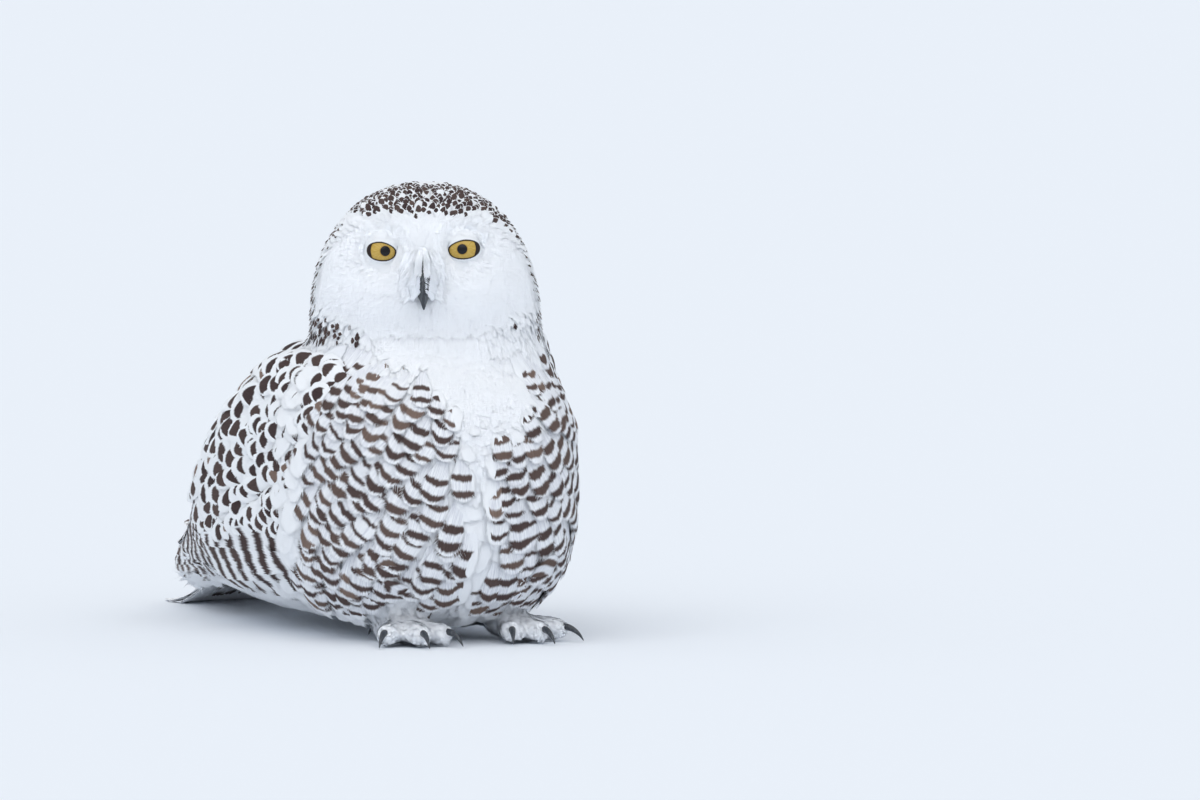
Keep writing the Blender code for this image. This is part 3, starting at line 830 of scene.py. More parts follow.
    @staticmethod
    def triangles(name: str, points: Array, loops: Array) -> bpy.types.Mesh:
        """A mesh of triangles, shaded smooth.

        Args:
            name: the mesh's name.
            points: places, one in each row.
            loops: point numbers, three for each triangle.

        Returns:
            The mesh.
        """
        mesh = bpy.data.meshes.new(name)
        mesh.vertices.add(len(points))
        mesh.vertices.foreach_set("co", points.astype(np.float32).ravel())
        mesh.loops.add(len(loops))
        mesh.loops.foreach_set("vertex_index", loops.astype(np.int32))
        mesh.polygons.add(len(loops) // 3)
        mesh.polygons.foreach_set("loop_start", np.arange(0, len(loops), 3, dtype=np.int32))
        mesh.polygons.foreach_set("loop_total", np.full(len(loops) // 3, 3, np.int32))
        mesh.shade_smooth()
        mesh.update(calc_edges=True)
        return mesh


# The skin -----------------------------------------------------------------------------------------


class Part(IntEnum):
    """Stretches of the skin that carry different feathers."""

    BODY = 0
    WING = 1
    TAIL = 2
    LEG = 3
    FOOT = 4
    LID = 5

    @classmethod
    def of(cls, node: str) -> "Part":
        """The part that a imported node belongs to."""
        kind = node.split("_")[0].upper()
        return cls[kind] if kind in cls.__members__ else cls.BODY


@dataclass
class Skin:
    """One closed skin in place of all the flesh, sunk under the plumage's outline."""

    anatomy: Anatomy
    voxel: float = 2.8 * MM
    body_depth: float = 4.6 * MM
    face_depth: float = 1.6 * MM
    thin_share: float = 0.30  # most of a thin part's thickness that the skin sinks in
    lowest: float = 0.4 * MM  # height over the floor that no point goes below
    swell: float = 1.5 * MM  # how far the tail, too thin for the voxels as it is, is swollen first
    ease: float = 0.5
    ease_rounds: int = 6

    def build(self) -> tuple[bpy.types.Object, Surface]:
        """Fuse, ease and sink the solids.

        Returns:
            The skin and its surface.
        """
        obj = self.fused()
        points, faces = world_mesh(obj)
        outer = Surface(points, faces)
        sunk = points - outer.vertex_normals * self.depth(outer)[:, None]
        sunk[:, 2] = np.maximum(sunk[:, 2], self.lowest)
        obj.data.vertices.foreach_set("co", sunk.astype(np.float32).ravel())
        obj.data.update()
        obj.data.shade_smooth()
        return obj, Surface(sunk, faces, self.parts(points, faces))

    def fused(self) -> bpy.types.Object:
        """All flesh nodes as one smooth closed mesh.

        Returns:
            The skin's object, before it sinks.
        """
        work = bmesh.new()
        for name in FLESH + FEET:
            points, faces = world_mesh(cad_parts[name])
            if name == "tail":
                points = points + Surface(points, faces).vertex_normals * self.swell
            made = [work.verts.new(p) for p in points]
            for face in faces:
                work.faces.new([made[i] for i in face])
        mesh = bpy.data.meshes.new("skin")
        bmesh.ops.remove_doubles(work, verts=work.verts, dist=1e-6)
        work.to_mesh(mesh)
        work.free()
        obj = bpy.data.objects.new("skin", mesh)
        bpy.context.scene.collection.objects.link(obj)
        fuse, ease = obj.modifiers.new("fuse", "REMESH"), obj.modifiers.new("ease", "SMOOTH")
        fuse.mode, fuse.voxel_size = "VOXEL", self.voxel
        ease.factor, ease.iterations = self.ease, self.ease_rounds
        graph = bpy.context.evaluated_depsgraph_get()
        done = bpy.data.meshes.new_from_object(obj.evaluated_get(graph))
        obj.modifiers.clear()
        obj.data = done
        return obj

    @staticmethod
    def parts(points: Array, faces: Faces) -> Array:
        """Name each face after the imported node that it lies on.

        Args:
            points: the skin's points.
            faces: the skin's faces.

        Returns:
            One Part for each face.
        """
        trees = {name: Surface(*world_mesh(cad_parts[name])).tree for name in FLESH + FEET}
        found = []
        for face in faces:
            middle = Vector(points[list(face)].mean(0))
            found.append(Part.of(min(trees, key=lambda name: trees[name].find_nearest(middle)[3])))
        return np.array(found, int)

    def depth(self, outer: Surface) -> Array:
        """How far each point sinks: least on the face and feet, and never through a thin part.

        Args:
            outer: the skin before it sinks.

        Returns:
            Metres, one for each point.
        """
        points, pivot = outer.vertices, self.anatomy.pivot_y
        _, ahead, up = self.anatomy.face(points)
        face = ramp(0.010, 0.035, ahead) * ramp(-0.07, -0.03, up)
        feet = ramp(0.030, 0.018, points[:, 2]) * ramp(pivot + 0.07, pivot + 0.04, points[:, 1])
        depth = mix(self.body_depth, self.face_depth, np.maximum(face, feet))
        for i, (point, normal) in enumerate(zip(points, outer.vertex_normals)):
            hit, _, _, thick = outer.tree.ray_cast(point - normal * 0.4 * MM, -normal, 0.05)
            if hit is not None:
                depth[i] = min(depth[i], self.thin_share * thick)
        return depth


def dress_skin(obj: bpy.types.Object, skin: Surface, breast: "Breast") -> None:
    """Give the skin its finish, with the plumage's bars where the breast carries them.

    Args:
        obj: the skin's object.
        skin: its surface.
        breast: the tract that knows where bars show.
    """
    x, y, z = skin.vertices.T
    barred = breast.barred(skin.vertices) * ramp(-0.10, -0.16, y) * ramp(0.030, 0.045, z)
    write_values(obj.data, rows=0.4 - z + 0.2 * np.abs(x), barred=barred)
    obj.data.materials.clear()
    obj.data.materials.append(SkinFinish().make())
    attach(obj, "root")
    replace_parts(obj, *FLESH, *FEET)
    log.info("skin: %d faces", len(obj.data.polygons))


# Tracts: where feathers grow ----------------------------------------------------------------------


@dataclass
class Lattice:
    """Rows of roots over a patch of the body, from a fan of rays.

    Columns run along the flow and rows across it. Odd columns start half a row further on.
    """

    skin: Surface
    centre: Place  # inner point for (across, along)
    direction: Place  # unit ray for (across, along)
    span: float  # the patch runs from -span to span across, and from 0 to 1 along
    columns: int
    row: float
    slide: Callable[[float], float] = lambda across: 0.0  # how far a column's rows are shifted down it
    growth: Callable[[Array], Array] = np.ones_like  # size of the rows along the body, as a share of the spacing
    fine: int = 140

    def roots(self, chance: np.random.Generator, jitter: float) -> dict[str, Array]:
        """Place the roots.

        Args:
            chance: source of chance.
            jitter: scatter of the roots, as a share of the row spacing.

        Returns:
            Arrays: root, normal, flow (down the column), side (across it), share across (a) and along
            (b), and the spacing between columns there (gap).
        """
        cells, fine, row = self.columns * 2, self.fine, self.row
        line = np.linspace(-self.span, self.span, cells + 1)
        across, along = (g.ravel() for g in np.meshgrid(line, np.linspace(0.0, 1.0, fine), indexing="ij"))
        hits = self.skin.from_outside(self.centre(across, along), self.direction(across, along))
        places, normals, met = (hit.reshape(cells + 1, fine, *hit.shape[1:]) for hit in hits)
        steps = np.linalg.norm(np.diff(places, axis=1), axis=2) / self.growth(np.linspace(0.0, 1.0, fine - 1))
        run = np.concatenate([np.zeros((cells + 1, 1)), np.cumsum(steps, 1)], 1)
        found = []
        for i in range(0, cells + 1, 2):
            offset = ((0.5 if i % 4 else 0.0) * row + self.slide(line[i])) % row
            stops = np.arange(offset, run[i, -1], row)
            stops = np.clip(stops + chance.normal(0, jitter * row, len(stops)), 0.0, run[i, -1] - 1e-6)
            index = np.clip(np.searchsorted(run[i], stops) - 1, 0, fine - 2)
            share = (stops - run[i, index]) / np.maximum(run[i, index + 1] - run[i, index], 1e-9)
            near = np.clip(i + chance.normal(0, jitter * 2.2, len(stops)), 0, cells - 1e-6)
            for q, part, j, s in zip(near.astype(int), near % 1.0, index, share):
                if met[q:q + 2, j:j + 2].all():
                    here = places[q, j]
                    first, second = (mix(places[k, j], places[k, j + 1], s) for k in (q, q + 1))
                    found.append((
                        mix(first, second, part), normals[q, j], places[q, j + 1] - here, places[q + 1, j] - here,
                        (q + part) / cells, (j + s) / (fine - 1), 2.0 * np.linalg.norm(second - first),
                    ))
        made = dict(zip(("root", "normal", "flow", "side", "a", "b", "gap"), map(np.array, zip(*found))))
        made["normal"] = unit(made["normal"])
        made["flow"], made["side"] = (tangent(made[k], made["normal"]) for k in ("flow", "side"))
        return made


def scattered(skin: Surface, spacing: Callable[[Array], Array], inside: Place, chance: np.random.Generator,
              tries: int) -> tuple[Array, Array]:
    """Evenly scattered roots over part of the skin.

    Args:
        skin: the surface.
        spacing: least distance between roots for given points.
        inside: which points and parts are wanted.
        chance: source of chance.
        tries: how many points to draw.

    Returns:
        The roots and their normals.
    """
    quads = skin.quads[inside(skin.vertices[skin.quads].mean(1), skin.parts)]
    a, b, c, d = skin.vertices[quads].transpose(1, 0, 2)
    area = 0.5 * np.linalg.norm(np.cross(c - a, d - b), axis=1)
    pick = chance.choice(len(quads), tries, p=area / area.sum())
    s, t = chance.random((2, tries, 1))

    def spread(values: Array) -> Array:
        """Values at the drawn places, from those at the quads' corners."""
        one, two, three, four = values[quads[pick]].transpose(1, 0, 2)
        return mix(mix(one, two, s), mix(four, three, s), t)

    points, normals = spread(skin.vertices), unit(spread(skin.vertex_normals))
    limit = spacing(points)
    keys = np.floor(points / limit.max()).astype(int)
    around = [(i, j, k) for i in (-1, 0, 1) for j in (-1, 0, 1) for k in (-1, 0, 1)]
    kept: dict[tuple[int, int, int], list[int]] = {}
    chosen: list[int] = []
    for n, (x, y, z) in enumerate(keys):
        near = [m for i, j, k in around for m in kept.get((x + i, y + j, z + k), ())]
        if near and np.min(np.sum((points[near] - points[n]) ** 2, axis=1)) < limit[n] ** 2:
            continue
        kept.setdefault((x, y, z), []).append(n)
        chosen.append(n)
    return points[chosen], normals[chosen]


@dataclass
class Tract:
    """A stretch of plumage that is grown as one or more coat pieces.

    Tracts share the names of their sizes: jitter is the scatter of the roots as a share of the row, swing that
    of the feathers' turn in radians, and lift a tip's height over the skin. bar, bar_half, bar_pitch and bar_arc
    give a mark's middle, half width, repeat and the lag of its ends, as shares of a feather's length. Of tries
    places drawn, those spacing apart become roots.
    """

    PLAIN = (0.86, 0.04, 0.3, 0.1)  # marks of feathers that are all white

    anatomy: Anatomy
    skin: Surface
    finish: Material
    seed: int

    def __post_init__(self) -> None:
        """Start the tract's own source of chance."""
        self.chance = np.random.default_rng(self.seed)
        self.loom = FeatherLoom(self.skin, self.seed + 1)

    def about(self, middle: float, spread: float, count: int) -> Array:
        """Numbers scattered about a middle one."""
        return self.chance.normal(middle, spread, count)

    def swung(self, flow: Array, normals: Array, spread: float) -> Array:
        """Turn each feather a little to one side or the other."""
        angles = self.about(0.0, spread, len(flow))[:, None]
        return flow * np.cos(angles) + np.cross(normals, flow) * np.sin(angles)

    def ahead(self, root: Array, flow: Array, distance: object) -> tuple[Array, Array]:
        """Where a feather's mark will lie, and the part of the skin there."""
        places, _, _ = self.skin.nearest(root + flow * np.reshape(distance, (-1, 1)))
        return places, self.skin.nearest(places)[2]

    def tint(self, strength: Array, tone: float, spread: float, reach: object, reach_spread: float,
             paler: object = 0.0) -> tuple[Array, ...]:
        """Strength, tone, chance and reach for each feather.

        Args:
            strength: 1 where the marks show.
            tone: middle tone, from 0 for brown to 1 for tan.
            spread: scatter of the tone.
            reach: half the marks' width, as a share of half the feather's.
            reach_spread: scatter of the reach.
            paler: what is added to the tone.

        Returns:
            The four arrays.
        """
        count = len(strength)
        tone = np.clip(np.clip(self.about(tone, spread, count), 0.0, 1.0) + paler, 0.0, 1.0)
        return strength, tone, self.chance.random(count), reach + self.about(0.0, reach_spread, count)

    def plain(self, count: int) -> tuple[Array, ...]:
        """Tints for feathers that are all white."""
        return self.tint(np.zeros(count), 0.3, 0.1, 0.8, 0.05)

    def weave(self, name: str, crop: Crop, cut: Cut, mask: Callable[[Array], Array] | None = None) -> None:
        """Build one piece in the tract's finish."""
        self.loom.weave(name, crop, cut, self.finish, mask=mask)

    def lay(self, name: str, slot: str, cut: Cut, spine: Array, normal: Array, *rest: object) -> None:
        """Build one piece of feathers whose shafts are given."""
        crop = Crop(spine[:, 0], normal[:, 0], unit(spine[:, 1] - spine[:, 0]), run_of(spine), *rest)
        self.loom.weave(name, crop, cut, self.finish, slot, laid=(spine, normal))

    @staticmethod
    def closest(met: Array) -> Array:
        """For each ray, the nearest one that met the skin."""
        good = np.where(met)[0]
        return good[np.abs(np.arange(len(met))[:, None] - good).argmin(1)]


@dataclass
class Breast(Tract):
    """Breast, belly and flanks: soft broad feathers in rows, barred below a white bib."""

    columns: int = 40
    row: float = 21.0 * MM
    span: float = math.radians(112.0)
    length: float = 45.0 * MM
    jitter: float = 0.085
    swing: float = 0.12
    bar: float = 0.858
    bar_half: float = 0.047
    bar_pitch: float = 0.27
    bar_arc: float = 0.085
    stripe: float = -6.5 * MM  # the white middle line runs a little to the bird's right

    @property
    def axis_y(self) -> float:
        """The upright axis that the breast is rounded about."""
        return self.anatomy.pivot_y + 31.6 * MM

    def centre(self, across: Array, along: Array) -> Array:
        """Inner end of the ray for a place on the tract."""
        return rows(0 * across, self.axis_y, mix(0.150, 0.095, ramp(0.0, 0.7, along)))

    @staticmethod
    def direction(across: Array, along: Array) -> Array:
        """Ray for a place on the tract: azimuth across, from over the bib to under the belly along."""
        polar = mix(np.radians(66.0), np.radians(-82.0), along)
        return rows(np.sin(across) * np.cos(polar), -np.cos(across) * np.cos(polar), np.sin(polar))

    def grow(self) -> None:
        """Plant and weave the tract."""
        r = Lattice(self.skin, self.centre, self.direction, self.span, self.columns, self.row,
                    slide=lambda across: -0.055 * abs(across)).roots(self.chance, self.jitter)
        root, normal, azimuth = r["root"], r["normal"], mix(-self.span, self.span, r["a"])
        part_way = mix(mix(0.22, 0.85, ramp(0.17, 0.27, r["b"])), 0.20, ramp(0.33, 0.62, r["b"]))
        outward = np.sign(azimuth) * ramp(0.0, 0.7, np.abs(azimuth)) * part_way
        flow = self.swung(tangent(r["flow"] + r["side"] * outward[:, None], normal), normal, self.swing)
        count = len(root)
        mark, part = self.ahead(root, flow, 0.75 * self.length)
        keep = ~np.isin(part, (Part.WING, Part.FOOT, Part.LEG))
        keep &= (r["gap"] > 5.0 * MM) | (self.chance.random(count) < 0.5)
        keep &= (root[:, 2] < TOP) & (self.skin.nearest(root)[2] < Part.LEG)
        length = self.length * self.about(1.0, 0.05, count)
        shown = self.barred(mark)
        high = mix(3.4 * MM, 5.0 * MM, ramp(0.20, 0.10, root[:, 2])) * self.about(1.0, 0.08, count)
        pale = self.chance.random(count) < 0.09 + 0.06 * ramp(0.13, 0.20, mark[:, 2])
        strength = (shown > 0.8 * self.chance.random(count)) * 1.0
        marks = (self.about(self.bar, 0.014, count), self.about(self.bar_half, 0.012, count), self.bar_pitch,
                 self.about(self.bar_arc, 0.035, count))
        tone = 0.10 + 0.10 * ramp(0.17, 0.20, mark[:, 2]) + 0.35 * pale
        crop = Crop(
            root, normal, flow, length, np.clip(r["gap"] * 2.15, 17 * MM, 26 * MM), -0.3 * MM,
            high * mix(0.36, 1.0, shown), marks, self.tint(strength, 0.0, 0.15, 0.94, 0.02, tone),
            rows(r["a"], r["b"]),
        ).pick(keep)
        left = crop.root[:, 0] >= 0.0
        for (side, _), chosen in zip(SIDES, (left, ~left)):
            self.weave(f"coat_breast_{side}", crop.pick(chosen), SOFT, self.barred)

    def barred(self, points: Array) -> Array:
        """Where bars show: under the bib, and on both sides of the white middle line.

        Args:
            points: places near the surface.

        Returns:
            1 where bars show, 0 where the coat is plain.
        """
        x, y, z = points[..., 0], points[..., 1] - self.axis_y, points[..., 2]
        azimuth = np.degrees(np.arctan2(x, -y))
        turn = np.abs(azimuth)
        right = 0.140 + 0.054 * ramp(4.0, 28.0, turn) + 0.026 * ramp(35.0, 75.0, turn)
        top = np.where(azimuth < 0.0, right, 0.148 + 0.060 * ramp(10.0, 42.0, turn))
        wander = 0.004 * np.sin(azimuth * 0.55 + 1.0) + 0.003 * np.sin(azimuth * 1.3)
        below = ramp(top + 0.010, top - 0.004, z + wander)
        sway = 0.0025 * np.sin(z * 110.0) + 0.0015 * np.sin(z * 290.0)
        line = np.abs(x - self.stripe - sway) + 0.004 * ramp(0.06, 0.03, z)
        return ramp(0.10, 0.55, below * ramp(0.0065, 0.0115, line) * ramp(0.016, 0.026, z))


@dataclass
class Bib(Tract):
    """The plain white front below the chin: short soft plumes over the larger feathers."""

    breast: Breast
    swing: float = 0.16
    tries: int = 60000

    @staticmethod
    def grade(points: Array) -> Array:
        """0 for the finest plumes at the top, 1 for the largest."""
        return ramp(0.218, 0.168, points[:, 2])

    def inside(self, points: Array, parts: Array) -> Array:
        """Where the tract lies.

        Args:
            points: places near the surface.
            parts: the part that each of them lies on.

        Returns:
            True where a plume may grow.
        """
        side, ahead, up = self.anatomy.face(points)
        chin = -0.062 + 0.45 * np.maximum(0.0, np.abs(side) - 0.036)
        plain = self.breast.barred(points - 8.0 * MM * UP) < 0.5
        inner = np.abs(side) < mix(0.044, 0.108, ramp(-0.080, -0.105, up))
        return (parts == Part.BODY) & (ahead > 0.0) & (up < chin) & (points[:, 2] > 0.120) & plain & inner

    def grow(self) -> None:
        """Scatter and weave the tract."""
        roots, normals = scattered(
            self.skin, lambda p: mix(2.1 * MM, 2.9 * MM, self.grade(p)), self.inside, self.chance, self.tries
        )
        count, large, x = len(roots), self.grade(roots), roots[:, 0]
        size = self.about(1.0, 0.10, count)
        outward = rows(0.3 * np.sign(x) * ramp(0.0, 0.06, np.abs(x)), 0.0, -1.0)
        flow = self.swung(tangent(outward, normals), normals, self.swing)
        crop = Crop(
            roots, normals, flow, mix(10.0 * MM, 14.0 * MM, large) * size, mix(4.8 * MM, 6.2 * MM, large) * size,
            mix(0.4 * MM, 1.5 * MM, large), mix(0.95 * MM, 2.2 * MM, large) * size, self.PLAIN, self.plain(count),
            rows(0.1 * np.arctan2(x, self.breast.axis_y - roots[:, 1]), roots[:, 2]),
        )
        self.weave("coat_bib", crop, replace(VELVET, barbs=5))


@dataclass
class Down(Tract):
    """A thin white layer of down over the body, under the outer feathers."""

    spacing: float = 9.0 * MM
    length: float = 26 * MM
    width: float = 17 * MM
    lift: float = 0.9 * MM
    swing: float = 0.20
    rear: float = 0.060  # where it ends behind
    tries: int = 30000

    def grow(self) -> None:
        """Scatter and weave one piece on each side."""
        roots, normals = scattered(
            self.skin, lambda p: np.full(len(p), self.spacing),
            lambda p, parts: (parts < Part.TAIL) & (p[:, 2] < TOP) & (p[:, 1] < self.rear), self.chance, self.tries
        )
        for side, hand in SIDES:
            chosen = roots[:, 0] * hand > 0.0
            root, normal = roots[chosen], normals[chosen]
            flow = mix(-UP, AFT - 0.5 * UP, ramp(-0.13, -0.04, root[:, 1:2]))
            flow = self.swung(tangent(flow, normal), normal, self.swing)
            _, end = self.ahead(root, flow, 20 * MM)
            tint = self.plain(len(root))
            crop = Crop(root, normal, flow, self.length * self.about(1.0, 0.1, len(root)), self.width, -0.2 * MM,
                        self.lift, self.PLAIN, tint, root[:, 1:]).pick(end < Part.TAIL)
            self.weave(f"coat_down_{side}", crop, replace(DOWNY, barbs=6, tips=7))


@dataclass
class FlankEdge(Breast):
    """Long white lobed feathers of the flank that lie over the wing's front edge."""

    azimuths: tuple[float, ...] = (80.0, 88.0)  # degrees
    length: float = 50 * MM
    width: float = 27 * MM
    lift: float = 5.5 * MM
    bar: float = 0.86
    bar_half: float = 0.04
    bar_arc: float = 0.15

    def grow(self) -> None:
        """Plant and weave one piece on each side."""
        planted = np.array([
            (azimuth, along) for i, azimuth in enumerate(self.azimuths)
            for along in np.arange(0.14 + 0.03 * i, 0.62, 0.055)
        ])
        count, along = len(planted), planted[:, 1]
        for side, hand in SIDES:
            azimuth = np.radians(planted[:, 0]) * hand + self.about(0.0, 0.02, count)
            root, normal, _ = self.skin.from_outside(self.centre(azimuth, along), self.direction(azimuth, along))
            flow = self.swung(tangent(np.array([0.15 * hand, 0.55, -1.0]), normal), normal, self.swing)
            marks = (self.about(self.bar, 0.01, count), self.bar_half, self.bar_pitch, self.bar_arc)
            strength = (ramp(0.11, 0.07, root[:, 2]) > self.chance.random(count)) * 1.0
            tint = self.tint(strength, 0.3, 0.15, 0.85, 0.05)
            sizes = (size * self.about(1.0, 0.08, count) for size in (self.length, self.width))
            crop = Crop(root, normal, flow, *sizes, 0.5 * MM, self.lift * self.about(1.0, 0.08, count), marks, tint,
                        rows(azimuth, along))
            self.weave(f"coat_flank_{side}", crop, SOFT)


@dataclass
class Mantle(Tract):
    """Back, scapulars and wing coverts: firmer feathers with bold dark marks."""

    columns: int = 62
    row: float = 22.0 * MM
    span: float = math.radians(128.0)
    jitter: float = 0.11
    swing: float = 0.13
    lift: float = 5.0 * MM
    bar: float = 0.795
    bar_half: float = 0.082
    bar_pitch: float = 0.5
    bar_arc: float = 0.24
    plain_share: float = 0.05
    tan_share: float = 0.10

    @staticmethod
    def maturity(along: Array) -> Array:
        """0 for the small feathers of the shoulder, 1 for the large ones behind it."""
        return ramp(0.10, 0.45, along)

    def centre(self, across: Array, along: Array) -> Array:
        """Inner end of the ray for a place on the tract."""
        y = mix(self.anatomy.pivot_y - 4.4 * MM, self.anatomy.tail_y - 0.118, along)
        return rows(0 * across, y, mix(0.112, 0.036, ramp(0.15, 1.0, along)))

    @staticmethod
    def direction(across: Array, along: Array) -> Array:
        """Ray for a place on the tract: straight up is 0 across."""
        return rows(np.sin(across), 0 * along, np.cos(across))

    def grow(self) -> None:
        """Plant and weave the tract, in four pieces."""
        r = Lattice(self.skin, self.centre, self.direction, self.span, self.columns, self.row,
                    growth=lambda along: mix(0.66, 1.10, self.maturity(along))).roots(self.chance, self.jitter)
        root, large, angle = r["root"], self.maturity(r["b"]), mix(-self.span, self.span, r["a"])
        x, y, z = root.T
        count, turn = len(x), np.abs(angle)
        flow = self.swung(r["flow"], r["normal"], self.swing)
        length = mix(31.0 * MM, 49.0 * MM, large) * self.about(1.0, 0.07, count)
        mark, part = self.ahead(root, flow, 0.7 * length)
        tip_y, tip_z = mark[:, 1] - self.anatomy.pivot_y, mark[:, 2]
        keep = self.chance.random(count) < np.clip(r["gap"] / (6.5 * MM), 0.0, 1.0)
        keep &= ((np.hypot(x, y - self.anatomy.head[1]) > 0.088) | (z < 0.190)) & (z < TOP)
        keep &= (part == Part.WING) | ((turn < 1.2) & (part != Part.TAIL))
        keep &= (tip_y < 0.155 + 1.6 * (tip_z - 0.045)) | (turn < 1.0)
        keep &= tip_y < np.where(turn > 0.5, 0.250, 0.305)
        keep &= (tip_z > 0.074) | (tip_y < 0.030) | (turn < 1.0)
        width = np.clip(r["gap"] * 2.1, mix(14.0 * MM, 17.0 * MM, large), 24 * MM)
        strength = (self.chance.random(count) >= self.plain_share) * 1.0
        tan = (self.chance.random(count) < self.tan_share) * 0.6
        marks = (self.about(self.bar, 0.03, count), self.about(self.bar_half, 0.020, count), self.bar_pitch,
                 self.about(self.bar_arc, 0.12, count))
        tint = self.tint(strength, 0.06, 0.08, np.minimum(self.about(0.69, 0.07, count), 0.735), 0.0, tan)
        crop = Crop(root, r["normal"], flow, length, width, -0.2 * MM, self.lift * self.about(1.0, 0.10, count),
                    marks, tint, rows(r["a"], r["b"])).pick(keep)
        angle = angle[keep]
        for name, low, high in (
            ("coat_wing_right", -9.0, -0.75), ("coat_mantle_right", -0.75, 0.0),
            ("coat_mantle_left", 0.0, 0.75), ("coat_wing_left", 0.75, 9.0),
        ):
            self.weave(name, crop.pick((angle >= low) & (angle < high)), FIRM, self.marked)

    def marked(self, points: Array) -> Array:
        """Where marks show: everywhere but a white collar round the foot of the neck."""
        off = np.hypot(points[..., 0], points[..., 1] - self.anatomy.head[1])
        return ramp(0.086, 0.098, off + 2.0 * np.maximum(0.0, 0.215 - points[..., 2]))


@dataclass
class Flight(Tract):
    """Primaries, secondaries, tertials and greater coverts of the folded wings: long barred vanes."""

    pitch: float = 23.0 * MM
    cut: Cut = replace(QUILL, barbs=30, stations=12, slant=0.08, widest=0.80, narrow=0.8, base_width=0.6)

    def ranks(self) -> Iterator[tuple[object, ...]]:
        """Each feather's root and tip (y, z), width and height over the skin in mm, and its rays' rise in degrees.

        Yields:
            One feather after the other, lowest first.
        """
        for i, (y, z) in enumerate(((352, 30), (372, 31), (386, 34), (380, 39), (366, 46), (350, 53))):
            yield (0.185, 0.030 + 0.0075 * i), (y * MM, z * MM), 24, 0.4 + 0.25 * i, (0.0, 0.0)
        for i in range(4):
            tip = 0.335 - 0.016 * i, 0.055 + 0.0075 * i
            yield (0.130, 0.042 + 0.0080 * i), tip, 26, 1.9 + 0.22 * i, (0.0, 0.0)
        for i in range(4):
            tip = 0.195 + 0.004 * i, 0.034 + 0.0125 * i
            yield (0.085, 0.032 + 0.0120 * i), tip, 29, 3.0 + 0.15 * i, (0.0, 0.0)
        for i in range(3):
            z = 0.042 + 0.013 * i
            yield (0.012, z), (0.122 + 0.007 * i, z), 28, 3.7 + 0.15 * i, (0.0, 0.0)
        for i in range(6):
            rises = 24.0 + 12.0 * i, 14.0 + 11.0 * i
            yield (0.205, 0.052), (0.382 - 0.012 * i, 0.032), 27, 2.4 + 0.25 * i, rises

    def grow(self) -> None:
        """Lay and weave one piece on each side."""
        share = np.linspace(0.0, 1.0, self.cut.stations)
        for side, hand in SIDES:
            laid = []
            for root, tip, width, lift, rises in self.ranks():
                phase = (tip[0] - 0.3) % self.pitch + self.chance.normal(0.0, 1.2 * MM)
                y = mix(root[0], tip[0], share) + self.anatomy.pivot_y
                z = mix(root[1], tip[1], share) + 2.0 * MM * np.sin(share * math.pi)
                rise = np.radians(mix(*rises, share))
                rays = rows(hand * np.cos(rise), 0.0, np.sin(rise))
                places, normal, met = self.skin.from_outside(rows(0.0, y, z), rays)
                nearest = self.closest(met)
                filled = rows(places[nearest, 0], y, places[nearest, 2])
                places = np.where(met[:, None], places, filled)
                laid.append((places, normal[nearest], width * MM, lift * MM, phase))
            spine, normal, width, lift, phase = (np.array(item) for item in zip(*laid))
            length, order = run_of(spine), np.arange(len(laid))
            marks = (1.0 - phase / length, 4.5 * MM / length * self.about(1.0, 0.10, len(laid)),
                     self.pitch / length, 0.02)
            tint = self.tint(np.ones(len(laid)), 0.10, 0.08, 0.80, 0.0)
            self.lay(f"flight_{side}", "barred_plumage", self.cut, spine, normal, width, lift, lift + 0.5 * MM,
                     marks, tint, rows(order % 6, order // 6))


@dataclass
class Tail(Tract):
    """Twelve barred tail feathers, seen from above and from below."""

    pitch: float = 27.0 * MM
    width: float = 20.0 * MM
    cut: Cut = replace(QUILL, barbs=26, stations=10, slant=0.10, widest=0.85, base_width=0.7)

    def grow(self) -> None:
        """Lay and weave the feathers from above and from below."""
        share = np.linspace(0.0, 1.0, self.cut.stations)
        solid = Surface(*world_mesh(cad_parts["tail"]))
        order, level = np.arange(12), mix(0.060, 0.004, ramp(0.0, 1.0, share))
        outermost_first = sorted(range(11, -1, -1), key=lambda k: -abs(k - 5.5))
        for name, up in (("tail_feathers_upper", UP), ("tail_feathers_lower", -UP)):
            paths = []
            for k in outermost_first:
                fan = (k - 5.5) / 5.5
                y = mix(0.240, 0.4295 - 0.006 * fan * fan, share) + self.anatomy.pivot_y
                inner = rows(fan * mix(0.022, 0.046, share), y, level)
                places, _, met = solid.from_outside(inner - up * 0.02, np.broadcast_to(up, inner.shape), 0.2)
                inner[:, 2] = places[self.closest(met), 2]
                paths.append(inner - up * 0.8 * MM)
            spine = np.array(paths)
            length, lift = run_of(spine), np.linspace(0.2, 1.3, len(order)) * MM
            marks = (1.0 - 16 * MM / length, 4.0 * MM / length, self.pitch / length, 0.02)
            tint = self.tint(np.ones(len(order)), 0.10, 0.08, 0.80, 0.0)
            self.lay(name, "barred_plumage", self.cut, spine, np.broadcast_to(up, spine.shape), self.width, lift,
                     lift, marks, tint, rows(order % 4, order // 4))


